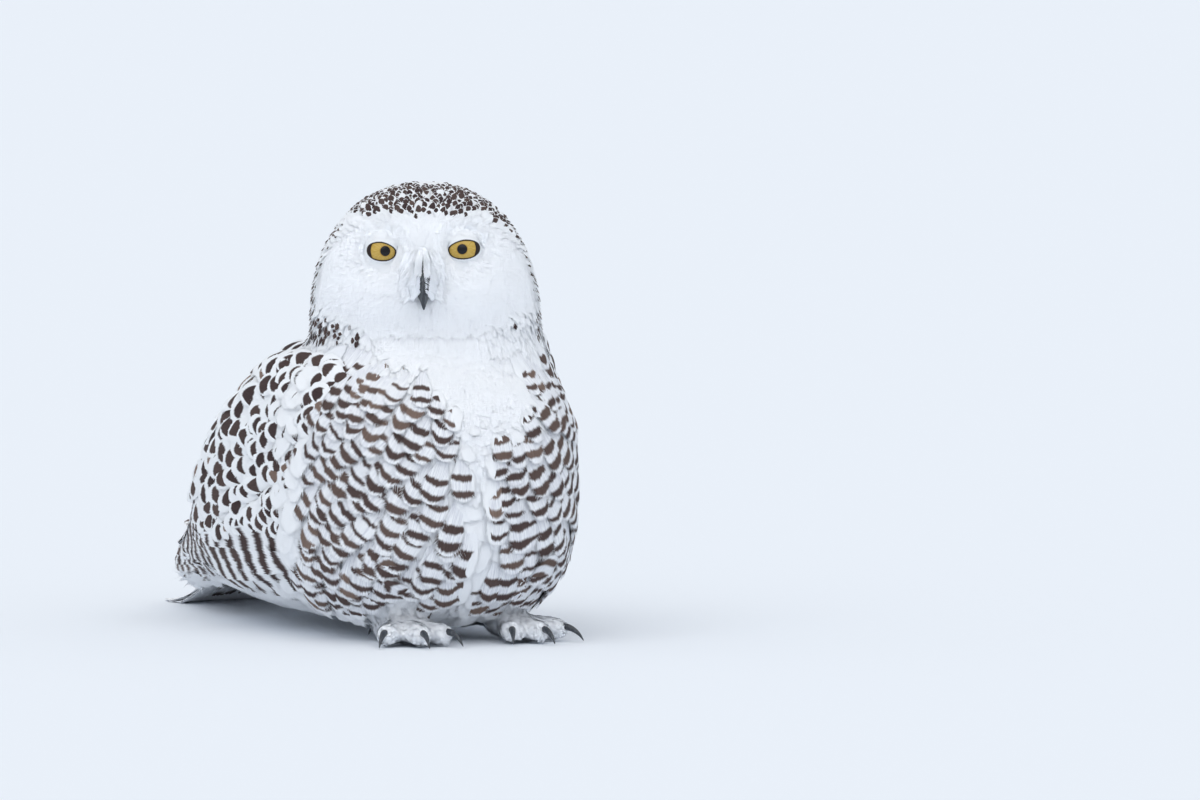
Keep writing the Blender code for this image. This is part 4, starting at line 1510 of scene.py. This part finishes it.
@dataclass
class Underside(Tract):
    """White downy feathers under the belly, round the vent and under the tail's root."""

    columns: int = 17
    row: float = 17.0 * MM
    span: float = math.radians(72.0)
    jitter: float = 0.10
    swing: float = 0.15
    length: float = 42 * MM
    width: float = 24 * MM
    lift: float = 4.0 * MM

    def centre(self, across: Array, along: Array) -> Array:
        """Inner end of the ray for a place on the tract."""
        y = mix(self.anatomy.pivot_y + 0.045, self.anatomy.tail_y - 0.070, along)
        return rows(0 * across, y, mix(0.100, 0.050, along))

    @staticmethod
    def direction(across: Array, along: Array) -> Array:
        """Ray for a place on the tract: straight down is 0 across."""
        return rows(np.sin(across), 0 * along, -np.cos(across))

    def grow(self) -> None:
        """Plant and weave the tract."""
        r = Lattice(
            self.skin, self.centre, self.direction, self.span, self.columns, self.row
        ).roots(self.chance, self.jitter)
        root, normal, count = r["root"], r["normal"], len(r["root"])
        flow = self.swung(r["flow"], normal, self.swing)
        part = self.skin.nearest(root)[2]
        _, end = self.ahead(root, flow, 30 * MM)
        keep = (part < Part.TAIL) & (end < Part.LEG) & (normal[:, 2] < np.where(part == Part.WING, -0.55, 0.2))
        tint = self.plain(count)
        crop = Crop(root, normal, flow, self.length * self.about(1.0, 0.08, count), self.width, 0.0,
                    self.lift * self.about(1.0, 0.15, count), self.PLAIN, tint, rows(r["a"], r["b"])).pick(keep)
        self.weave("coat_underside", crop, DOWNY)


@dataclass
class Feet(Tract):
    """Short white tufts over the legs and toes, right down to the claws."""

    spacing: float = 2.1 * MM
    length: float = 11.0 * MM
    width: float = 4.0 * MM
    lift: float = 1.2 * MM
    swing: float = 0.25
    top: float = 0.032
    tries: int = 40000

    def grow(self) -> None:
        """Plant and weave one piece on each side."""
        roots, normals = scattered(
            self.skin, lambda p: np.full(len(p), self.spacing),
            lambda p, parts: np.isin(parts, (Part.FOOT, Part.LEG)) & (p[:, 2] < self.top), self.chance, self.tries
        )
        for side, hand in SIDES:
            chosen = roots[:, 0] * hand > 0.0
            root, normal, count = roots[chosen], normals[chosen], int(chosen.sum())
            ankle = np.array(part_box(f"leg_{side}")).mean(0)
            away = unit((root - ankle) * (1.0 - UP) - 4.0 * MM * AFT)
            flow = tangent(away - ramp(0.014, 0.028, root[:, 2:]) * 1.6 * UP, normal)
            flow = self.swung(flow, normal, self.swing)
            tint = self.plain(count)
            crop = Crop(root, normal, flow, self.length * self.about(1.0, 0.12, count), self.width, -0.2 * MM,
                        self.lift * self.about(1.0, 0.2, count), self.PLAIN, tint, root[:, :2])
            self.weave(f"coat_foot_{side}", crop, replace(VELVET, solid=0.45, fray=0.3))


@dataclass
class Head(Tract):
    """Face, crown, nape and throat: small soft feathers that run back from the bill."""

    face_spacing: float = 1.65 * MM
    crown_spacing: float = 2.9 * MM
    neck_spacing: float = 5.6 * MM
    disc: float = 36.0 * MM  # half width of the face's level edges
    swing: float = 0.12
    bar: float = 0.81
    bar_pitch: float = 0.9
    bar_arc: float = 0.22
    tries: int = 60000

    def plush(self, points: Array) -> Array:
        """1 on the front of the throat, where the coat stays as fine as velvet."""
        side, ahead, up = self.anatomy.face(points)
        return ramp(-0.010, 0.015, ahead) * ramp(0.100, 0.085, np.abs(side)) * ramp(-0.045, -0.060, up)

    def spacing(self, points: Array) -> Array:
        """Least distance between roots: finest on the face."""
        low = ramp(-0.045, -0.085, self.anatomy.face(points)[2]) * (1.0 - 0.85 * self.plush(points))
        return mix(mix(self.crown_spacing, self.neck_spacing, low), self.face_spacing, self.face_share(points))

    def face_share(self, points: Array) -> Array:
        """1 on the flat face, 0 on the crown, sides and neck.

        Args:
            points: places near the surface.

        Returns:
            The share at each point.
        """
        side, ahead, up = self.anatomy.face(points)
        past = np.maximum(0.0, np.abs(side) - self.disc)
        top, chin = 0.0225 - 0.55 * past, -0.066 + 0.45 * past
        return ramp(0.018, 0.034, ahead) * ramp(top + 0.003, top - 0.005, up) * ramp(chin, chin + 0.016, up)

    def flow(self, points: Array, normals: Array) -> Array:
        """Away from bill and eyes across the face, back over the crown, and down nape and throat.

        Args:
            points: places near the surface.
            normals: the surface's directions there.

        Returns:
            Unit directions along the surface.
        """
        a = self.anatomy
        _, ahead, up = (distance[:, None] for distance in a.face(points))

        def flat(off: Array) -> Array:
            """The part of each vector that lies across the face."""
            return off - np.outer(off @ a.forward, a.forward)

        away = unit(flat(points - (a.head + a.forward * 0.070 - 12.0 * MM * UP)))
        for eye in a.eyes:
            off = flat(points - eye)
            distance = np.linalg.norm(off, axis=1, keepdims=True)
            away = unit(away + unit(off) * 2.2 * ramp(0.026, 0.010, distance))
        course = mix(away, unit(0.30 * away - a.forward), ramp(0.022, 0.038, up))
        behind = ramp(0.020, -0.030, ahead) * ramp(0.035, 0.0, up)
        course = mix(course, unit(-0.25 * a.forward - UP), behind)
        return tangent(mix(course, unit(0.20 * away - UP), ramp(-0.030, -0.060, up)), normals)

    def spots(self, places: Array) -> Array:
        """Strength of the dark marks: a cap, flecks down the sides, nape and front of the neck.

        Args:
            places: where on the head each mark lies.

        Returns:
            Strengths from 0 to 1.
        """
        side, ahead, up = self.anatomy.face(places)
        luck, wide = self.chance.random(len(places)), np.abs(side)
        brim = 0.0262 - 0.5 * np.maximum(0.0, wide - 0.044) + 0.0015 * np.sin(side * 200.0)
        cap = luck < 0.96 * ramp(brim - 0.0015, brim + 0.0025, up)
        cap &= (wide >= 0.016) | (up <= 0.0445) | (luck >= 0.8)
        stray = (up > brim - 0.010) & (wide < 0.030) & (luck < 0.05)
        edge = ramp(0.030, 0.012, ahead) * ramp(-0.075, -0.055, up) * ramp(0.045, 0.060, np.hypot(side, ahead))
        band = ramp(-0.049, -0.053, up) * ramp(-0.076, -0.068, up) * ramp(0.034, 0.050, wide)
        neck = luck < 0.75 * band * ramp(0.062, 0.045, ahead) * np.where(side < 0.0, 1.0, 0.12)
        return (cap | stray | (luck < 0.42 * edge) | (luck < 0.75 * ramp(0.0, -0.03, ahead)) | neck) * 1.0

    def inside(self, points: Array, parts: Array) -> Array:
        """Where the tract lies.

        Args:
            points: places near the surface.
            parts: the part that each of them lies on.

        Returns:
            True where a feather may grow.
        """
        side, ahead, up = self.anatomy.face(points)
        front = ramp(0.0, 0.03, ahead) * ramp(0.020, 0.045, np.abs(side))
        low = mix(-0.105, mix(-0.070, -0.060, ramp(0.0, -0.02, side)), front)
        return (up > low) & (np.hypot(side, ahead) < 0.118) & (parts != Part.WING)

    def sized(self, crown: float, neck: float, plush: float, face: float) -> Array:
        """A size over the head, from its values in mm on crown, neck, throat and face."""
        low, soft, flat = self.shares
        return mix(mix(mix(crown, neck, low), plush, soft), face, flat) * MM

    def grow(self) -> None:
        """Plant and weave the tract, in four pieces."""
        a = self.anatomy
        roots, normals = scattered(self.skin, self.spacing, self.inside, self.chance, self.tries)
        keep, brow = np.ones(len(roots), bool), np.zeros(len(roots))
        for gaze, eye in zip(GAZES, a.eyes):
            side, ahead, up = a.face(roots - eye + a.head)
            up = up - 1.0 * MM
            wide, tall = gaze.half_width + 0.8 * MM, gaze.half_height + 0.9 * MM
            keep &= ((side / wide) ** 2 + (up / tall) ** 2 > 1.0) | (ahead < 0.0)
            outward = side * gaze.hand
            over = np.exp(-(((up - 12.5 * MM - 0.30 * outward) / (2.6 * MM)) ** 2))
            brow += over * ramp(-0.016, -0.010, outward) * ramp(0.022, 0.012, outward)
        roots, normals, brow = roots[keep], normals[keep], brow[keep]
        side, ahead, up = a.face(roots)
        neck, plush, face = ramp(-0.045, -0.085, up), self.plush(roots), self.face_share(roots)
        self.shares, count = (neck, plush, face), len(roots)
        flow = self.swung(self.flow(roots, normals), normals, self.swing)
        size = self.about(1.0, 0.08, count)
        length = self.sized(9.5, 26.0, 12.0, 8.5) * size
        places, _ = self.ahead(roots, flow, 0.8 * length)
        strength = self.spots(places) * (1.0 - ramp(0.35, 0.65, face))
        forehead = ramp(0.0155, 0.0165, up) * (np.abs(side - 0.009) < 0.015)
        strength = np.maximum(strength, self.chance.random(count) < 0.05 * forehead)
        half = mix(mix(0.142, 0.075, neck), 0.155, plush) * self.about(1.0, 0.22, count)
        marks = (self.about(self.bar, 0.035, count), half, self.bar_pitch, self.about(self.bar_arc, 0.10, count))
        tint = self.tint(strength, 0.08, 0.08, np.minimum(self.about(0.66, 0.07, count), 0.73), 0.0)
        patch = rows(np.arctan2(side, ahead), np.arctan2(up + 0.03, np.hypot(side, ahead)))
        crop = Crop(roots, normals, flow, length, self.sized(5.8, 12.0, 5.4, 4.4) * size, -0.1 * MM,
                    self.sized(3.4, 1.6, 0.8, 0.45) * size + 0.9 * MM * brow, marks, tint, patch)
        velvet, low, front = face > 0.5, up <= -0.01, ahead > 0.0
        for name, chosen, cut in (
            ("coat_face", velvet, VELVET),
            ("coat_crown", ~velvet & ~low, SCALE),
            ("coat_throat", ~velvet & low & front, replace(DOWNY, barbs=5, stations=4, tips=5)),
            ("coat_nape", ~velvet & low & ~front, SCALE),
        ):
            self.weave(name, crop.pick(chosen), cut)


@dataclass
class Bristles(Tract):
    """Fine white bristles that spring from the bill's root and arch outwards and down beside it."""

    beside: int = 420  # bristles that spring from the face next to the bill
    drape: int = 600  # bristles that spring from beside its ridge
    crest: int = 200  # bristles that run down over its root
    width: float = 1.6 * MM

    def __post_init__(self) -> None:
        """Find how far forward the bill's ridge, or the face above it, stands at a row of levels."""
        super().__post_init__()
        a, bill = self.anatomy, Surface(*world_mesh(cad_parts["bill_upper"]))
        self.levels, self.reach = np.linspace(-0.040, 0.012, 40), []
        for level in self.levels:
            start = a.head + a.forward * 0.2 + UP * level
            hits = [s.tree.ray_cast(start, -a.forward, 0.3)[0] for s in (bill, self.skin)]
            self.reach.append(max((np.array(hit) - a.head) @ a.forward for hit in hits if hit is not None))

    def ridge(self, up: Array) -> Array:
        """How far forward the ridge stands, in mm, at heights in mm."""
        return np.interp(up * MM, self.levels, self.reach) / MM

    def from_crest(self, spread: Array, rise: Array, luck: Array, scatter: Array) -> tuple[tuple[Array, ...], ...]:
        """Start, middle and end in mm outwards, forward and up, of bristles over the bill's root.

        Args:
            spread: random shares from 0 to 1, one for each bristle.
            rise: the same, for its height.
            luck: the same, for its bend.
            scatter: factors close to 1 for its length.

        Returns:
            Outwards, forward and up of the start, the middle and the end.
        """
        top = mix(5.0, -5.0, rise)
        out = mix(0.0, 2.6, spread)
        middle = out * 1.3 + 0.5, self.ridge(top - 7.0) + 1.0, top - 7.0
        end = out * 1.8 + mix(0.8, 2.0, luck), self.ridge(top - 14.0) + 0.5, top - 13.0 * scatter
        return (out, self.ridge(top) + 0.2, top), middle, end

    def from_ridge(self, spread: Array, rise: Array, luck: Array, scatter: Array) -> tuple[tuple[Array, ...], ...]:
        """Start, middle and end in mm outwards, forward and up, of bristles beside the bill's ridge.

        Args:
            spread: random shares from 0 to 1, one for each bristle.
            rise: the same, for its height.
            luck: the same, for its bend.
            scatter: factors close to 1 for its length.

        Returns:
            Outwards, forward and up of the start, the middle and the end.
        """
        top = mix(-3.0, -28.0, rise)
        out, ahead = mix(1.2, 2.3, spread), self.ridge(top)
        middle = out + mix(4.6, 3.6, rise), ahead - 3.2 + mix(-0.8, 0.8, luck), top - 4.0
        fall = mix(13.0, 7.5, rise) * mix(0.85, 1.12, spread)
        end = mix(12.5, 7.5, rise) * scatter, mix(65.5, 68.5, luck), top - fall
        return (out, ahead + mix(-0.5, 0.2, luck), top), middle, end

    def from_face(self, spread: Array, rise: Array, luck: Array, scatter: Array) -> tuple[tuple[Array, ...], ...]:
        """Start, middle and end in mm outwards, forward and up, of bristles next to the bill.

        Args:
            spread: random shares from 0 to 1, one for each bristle.
            rise: the same, for its height.
            luck: the same, for its bend.
            scatter: factors close to 1 for its length.

        Returns:
            Outwards, forward and up of the start, the middle and the end.
        """
        out, top = mix(3.5, 12.0, spread), mix(2.0, -29.0, rise)
        middle = out + mix(2.5, 4.5, luck), mix(71.0, 66.5, spread), top - 6.0
        fall = mix(14.0, 9.0, rise) * scatter * mix(0.75, 1.1, luck)
        end = out + mix(3.5, 7.5, luck) * scatter, mix(67.0, 65.0, spread), top - fall
        return (out, mix(61.5, 65.5, rise), top), middle, end

    def grow(self) -> None:
        """Lay and weave the bristles of both sides."""
        a = self.anatomy
        share = np.linspace(0.0, 1.0, BRISTLE.stations)[None, :, None]
        paths, hands = [], []
        for count, course in (
            (self.beside, self.from_face), (self.drape, self.from_ridge), (self.crest, self.from_crest),
        ):
            hand = np.where(np.arange(count) % 2, 1.0, -1.0)
            spread, rise, luck = self.chance.random((3, count))
            start, middle, end = (
                (a.head + MM * (np.outer(hand * out, a.side) + np.outer(ahead, a.forward) + np.outer(up, UP)))[:, None]
                for out, ahead, up in course(spread, rise, luck, self.about(1.0, 0.10, count))
            )
            paths.append(mix(mix(start, middle, share), mix(middle, end, share), share))
            hands.append(hand)
        spine, hand = np.concatenate(paths), np.concatenate(hands)
        out = unit(a.forward + np.outer(hand * 0.35, a.side))
        self.lay("bristles", "white_plumage", BRISTLE, spine, np.broadcast_to(out[:, None], spine.shape), self.width,
                 0.0, 0.0, self.PLAIN, self.plain(len(hand)), rows(spine[:, 0] @ a.side, spine[:, 0, 2]))


# Eyes, bill and claws -----------------------------------------------------------------------------


@dataclass(frozen=True)
class Gaze:
    """One eye: its side, the turn of its gaze and the size of its opening."""

    side: str
    hand: float
    toe_in: float  # radians
    half_width: float
    half_height: float


GAZES = (
    Gaze("left", 1.0, math.radians(6.0), 11.4 * MM, 6.9 * MM),
    Gaze("right", -1.0, math.radians(13.0), 10.4 * MM, 6.8 * MM),
)


@dataclass
class Eyes:
    """Both eyeballs and the lids round them."""

    anatomy: Anatomy
    skin: Surface
    raised: float = math.radians(5.4)  # how far the gaze is turned up
    around: int = 96  # points round each lid
    segments: tuple[int, int] = (72, 48)  # round each eyeball, and from its front to its back
    rim: tuple[tuple[float, float, float], ...] = (
        (-0.12, -0.4, 0.0), (0.0, 0.20, 0.0), (0.5, 0.50, 0.0), (1.0, 0.75, 0.15)
    )  # share from the inner to the outer outline, mm off the ball and distance from the rim
    slope: tuple[tuple[float, float, float], ...] = ((0.5, 1.0, 0.55), (1.2, 1.1, 0.85), (2.4, 1.1, 1.0))
    skirt: tuple[tuple[float, float], ...] = ((15.3, -0.2), (18.0, 0.1), (21.0, 0.8))  # radius and mm sunk

    def build(self) -> list[Surface]:
        """Build both sides.

        Returns:
            The surfaces of the lids, for feathers to grow on.
        """
        eye_finish, lid_finish = EyeFinish().make(), LidFinish().make()
        lids = []
        for gaze, centre in zip(GAZES, self.anatomy.eyes):
            self.ball(gaze, centre, eye_finish)
            lids.append(self.lids(gaze, centre, lid_finish))
        return lids

    def axes(self, gaze: Gaze, toe_in: float) -> tuple[Array, Array]:
        """Across and forward of one eye, turned in by toe_in radians."""
        forward = unit(self.anatomy.forward - self.anatomy.side * gaze.hand * math.sin(toe_in))
        return unit(np.cross(UP, forward)) * np.sign(np.cross(UP, forward) @ self.anatomy.side), forward

    def ball(self, gaze: Gaze, centre: Array, finish: Material) -> None:
        """One eyeball, with its own map across the gaze.

        Args:
            gaze: the eye.
            centre: the eyeball's centre.
            finish: the eyes' material.
        """
        across, forward = self.axes(gaze, gaze.toe_in)
        c, s = math.cos(self.raised), math.sin(self.raised)
        work = bmesh.new()
        around, along = self.segments
        bmesh.ops.create_uvsphere(work, u_segments=around, v_segments=along, radius=1.0)
        mesh = bpy.data.meshes.new(f"eyeball_{gaze.side}")
        work.to_mesh(mesh)
        work.free()
        local = np.array([v.co[:] for v in mesh.vertices]) * self.anatomy.eye_radius
        world = centre + local @ np.array([across, UP * c - forward * s, forward * c + UP * s])
        mesh.vertices.foreach_set("co", world.astype(np.float32).ravel())
        view = np.where(local[:, 2:] < 0.0, 0.98, local[:, :2] / EYE_MAP_WIDTH + 0.5)
        for layer in list(mesh.uv_layers):
            mesh.uv_layers.remove(layer)
        write_maps(mesh, gaze=view)
        mesh.shade_smooth()
        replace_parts(link(f"eyeball_{gaze.side}", mesh, finish), f"eye_{gaze.side}")

    @staticmethod
    def outline(gaze: Gaze, turn: Array, golden: bool) -> tuple[Array, Array]:
        """Outline of the opening, across and up, flatter above and cut down towards the bill.

        Args:
            gaze: the eye.
            turn: directions round the opening.
            golden: True for the edge of the bare eye, False for the outer edge of the dark rim.

        Returns:
            Distances towards the bird's left and up.
        """
        c, s = np.cos(turn), np.sin(turn)
        x = gaze.half_width * np.sign(c) * np.abs(c) ** 0.90
        y = gaze.half_height * np.sign(s) * np.abs(s) ** 0.92
        outer = gaze.hand * x / gaze.half_width
        y = np.where(s > 0.0, y * (0.97 - 0.20 * ramp(0.1, -1.0, outer)), y) + 0.6 * MM * outer
        if golden:
            x = x * (1.0 - 0.23 * ramp(0.55, 1.0, outer) - 0.045 * ramp(-0.5, -1.0, outer))
            y = y * 0.94
        return x, y + 1.0 * MM

    def lids(self, gaze: Gaze, centre: Array, finish: Material) -> Surface:
        """A dark rolled rim round the opening and the lid's skin out to the face.

        Args:
            gaze: the eye.
            centre: the eyeball's centre.
            finish: the lids' material.

        Returns:
            The lids' surface.
        """
        across, forward = self.axes(gaze, 0.0)
        turns = np.linspace(0.0, 2 * math.pi, self.around, endpoint=False)
        x0, y0 = self.outline(gaze, turns, True)
        x1, y1 = self.outline(gaze, turns, False)
        ball, edge, rings, shares = self.anatomy.eye_radius, np.hypot(x1, y1), [], []

        def ring(x: Array, y: Array, off: float, share: float) -> None:
            """Add a ring that stands off the ball.

            Args:
                x: distances across.
                y: distances up.
                off: mm off the ball.
                share: distance from the rim, 0 to 1.
            """
            depth = np.sqrt(np.maximum(ball**2 - x**2 - y**2, 0.0)) + off * MM
            rings.append(centre + rows(x, y, depth) @ np.array([across, UP, forward]))
            shares.append(share)

        for part, off, share in self.rim:
            ring(mix(x0, x1, part), mix(y0, y1, part), off, share)
        for grow, off, share in self.slope:
            wide = np.minimum(edge + grow * MM, np.maximum(0.92 * ball, edge + 0.3 * grow * MM)) / edge
            ring(x1 * wide, y1 * wide, off, share)
        for radius, sink in self.skirt:
            wide = radius * MM / edge
            start = centre + rows(x1 * wide, y1 * wide, 0.10) @ np.array([across, UP, forward])
            hits = [self.skin.tree.ray_cast(point, -forward, 0.2)[0] for point in start]
            depth = np.array([0.10 if hit is None else (point - hit) @ forward for point, hit in zip(start, hits)])
            rings.append(start - (depth + sink * MM)[:, None] * forward)
            shares.append(1.0)
        points, count = np.concatenate(rings), self.around
        faces = [
            (k + i, k + count + i, k + count + (i + 1) % count, k + (i + 1) % count)
            for k in range(0, len(points) - count, count) for i in range(count)
        ]
        if Surface(points, faces).vertex_normals.mean(0) @ forward < 0.0:
            faces = [face[::-1] for face in faces]
        mesh = drawn(f"eyelids_{gaze.side}", points, faces)
        write_values(mesh, from_rim=np.repeat(shares, count))
        mesh.shade_smooth()
        link(f"eyelids_{gaze.side}", mesh, finish)
        return Surface(points, faces, np.full(len(faces), Part.LID))


@dataclass
class Horn:
    """Bill and claws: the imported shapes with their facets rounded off."""

    facet: float = 0.6  # radians between triangles that become one face
    rounds: int = 2

    def build(self) -> None:
        """Refine every horn node."""
        finish = HornFinish().make()
        for node in ("bill_upper", "bill_lower") + CLAWS:
            mesh = drawn(f"horn_{node}", *world_mesh(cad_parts[node]))
            work = bmesh.new()
            work.from_mesh(mesh)
            bmesh.ops.remove_doubles(work, verts=work.verts, dist=1e-5)
            bmesh.ops.join_triangles(
                work, faces=work.faces, angle_face_threshold=self.facet, angle_shape_threshold=self.facet
            )
            work.to_mesh(mesh)
            work.free()
            mesh.shade_smooth()
            obj = link(f"horn_{node}", mesh, finish)
            smooth = obj.modifiers.new("round", "SUBSURF")
            smooth.levels = smooth.render_levels = self.rounds
            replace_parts(obj, node)


@dataclass
class Studio:
    """Plain pale floor, soft light and the camera."""

    anatomy: Anatomy
    azimuth: float = math.radians(-24.0)
    elevation: float = math.radians(4.0)
    distance: float = 14.0
    frame_width: float = 0.888
    right_shift: float = 0.1125  # the picture's middle, to the right of the legs' upright line
    up_shift: float = 0.1776
    floor_half: float = 40.0
    sky: Colour = (0.935, 0.965, 1.0)
    sky_strength: float = 0.66
    sun: Colour = (1.0, 0.99, 0.97)
    sun_energy: float = 1.30
    sun_angle: float = math.radians(75.0)

    def build(self) -> None:
        """Set the stage."""
        self.floor()
        self.light()
        self.camera()

    @staticmethod
    def place(name: str, data: bpy.types.ID, aim: Vector | None = None, track: str = "Z") -> bpy.types.Object:
        """Add an object that turns one of its axes towards aim.

        Args:
            name: the object's name.
            data: what it holds.
            aim: the way to turn to, or None.
            track: the axis that turns that way.

        Returns:
            The object.
        """
        obj = bpy.data.objects.new(name, data)
        if aim:
            obj.rotation_euler = aim.to_track_quat(track, "Y").to_euler()
        bpy.context.scene.collection.objects.link(obj)
        return obj

    def floor(self) -> None:
        """One large level plane."""
        h = self.floor_half
        mesh = drawn("floor", [(-h, -h, 0.0), (h, -h, 0.0), (h, h, 0.0), (-h, h, 0.0)], [(0, 1, 2, 3)])
        mesh.materials.append(StudioFinish().make())
        self.place("floor", mesh)

    def light(self) -> None:
        """An even pale sky with one broad lamp high on the left."""
        scene = bpy.context.scene
        scene.world = bpy.data.worlds.new("pale_sky")
        scene.world.use_nodes = True
        background = scene.world.node_tree.nodes["Background"]
        background.inputs["Color"].default_value = (*self.sky, 1.0)
        background.inputs["Strength"].default_value = self.sky_strength
        lamp = bpy.data.lights.new("key", "SUN")
        lamp.angle, lamp.energy, lamp.color = self.sun_angle, self.sun_energy, self.sun
        self.place("key", lamp, Vector((0.35, 0.55, -1.0)), "-Z")
        scene.view_settings.view_transform = "Standard"

    def camera(self) -> None:
        """Look at the owl from its front right."""
        az, el = self.azimuth, self.elevation
        back = Vector((math.sin(az) * math.cos(el), -math.cos(az) * math.cos(el), math.sin(el)))
        right = Vector((math.cos(az), math.sin(az), 0.0))
        target = Vector((0.0, self.anatomy.pivot_y, 0.0)) + right * self.right_shift
        target += back.cross(right) * self.up_shift
        data = bpy.data.cameras.new("camera")
        data.sensor_width = 36.0
        data.lens = data.sensor_width * self.distance / self.frame_width
        data.clip_end = 200.0
        obj = self.place("camera", data, back)
        obj.location = target + back * self.distance
        bpy.context.scene.camera = obj


def main() -> None:
    """Build the owl's looks and report each piece."""
    anatomy = Anatomy.from_frame()
    skin_object, skin = Skin(anatomy).build()
    plumage = PlumageFinish().make()
    breast = Breast(anatomy, skin, plumage, 11)
    dress_skin(skin_object, skin, breast)
    lids = Eyes(anatomy, skin).build()
    breast.grow()
    Down(anatomy, skin, plumage, 17).grow()
    Bib(anatomy, skin, plumage, 19, breast).grow()
    for tract, seed in ((FlankEdge, 13), (Mantle, 23), (Flight, 29), (Tail, 31), (Underside, 41), (Feet, 43)):
        tract(anatomy, skin, plumage, seed).grow()
    Head(anatomy, skin.joined(lids), plumage, 37).grow()
    Bristles(anatomy, skin, plumage, 47).grow()
    Horn().build()
    Studio(anatomy).build()


if __name__ == "__main__":
    main()
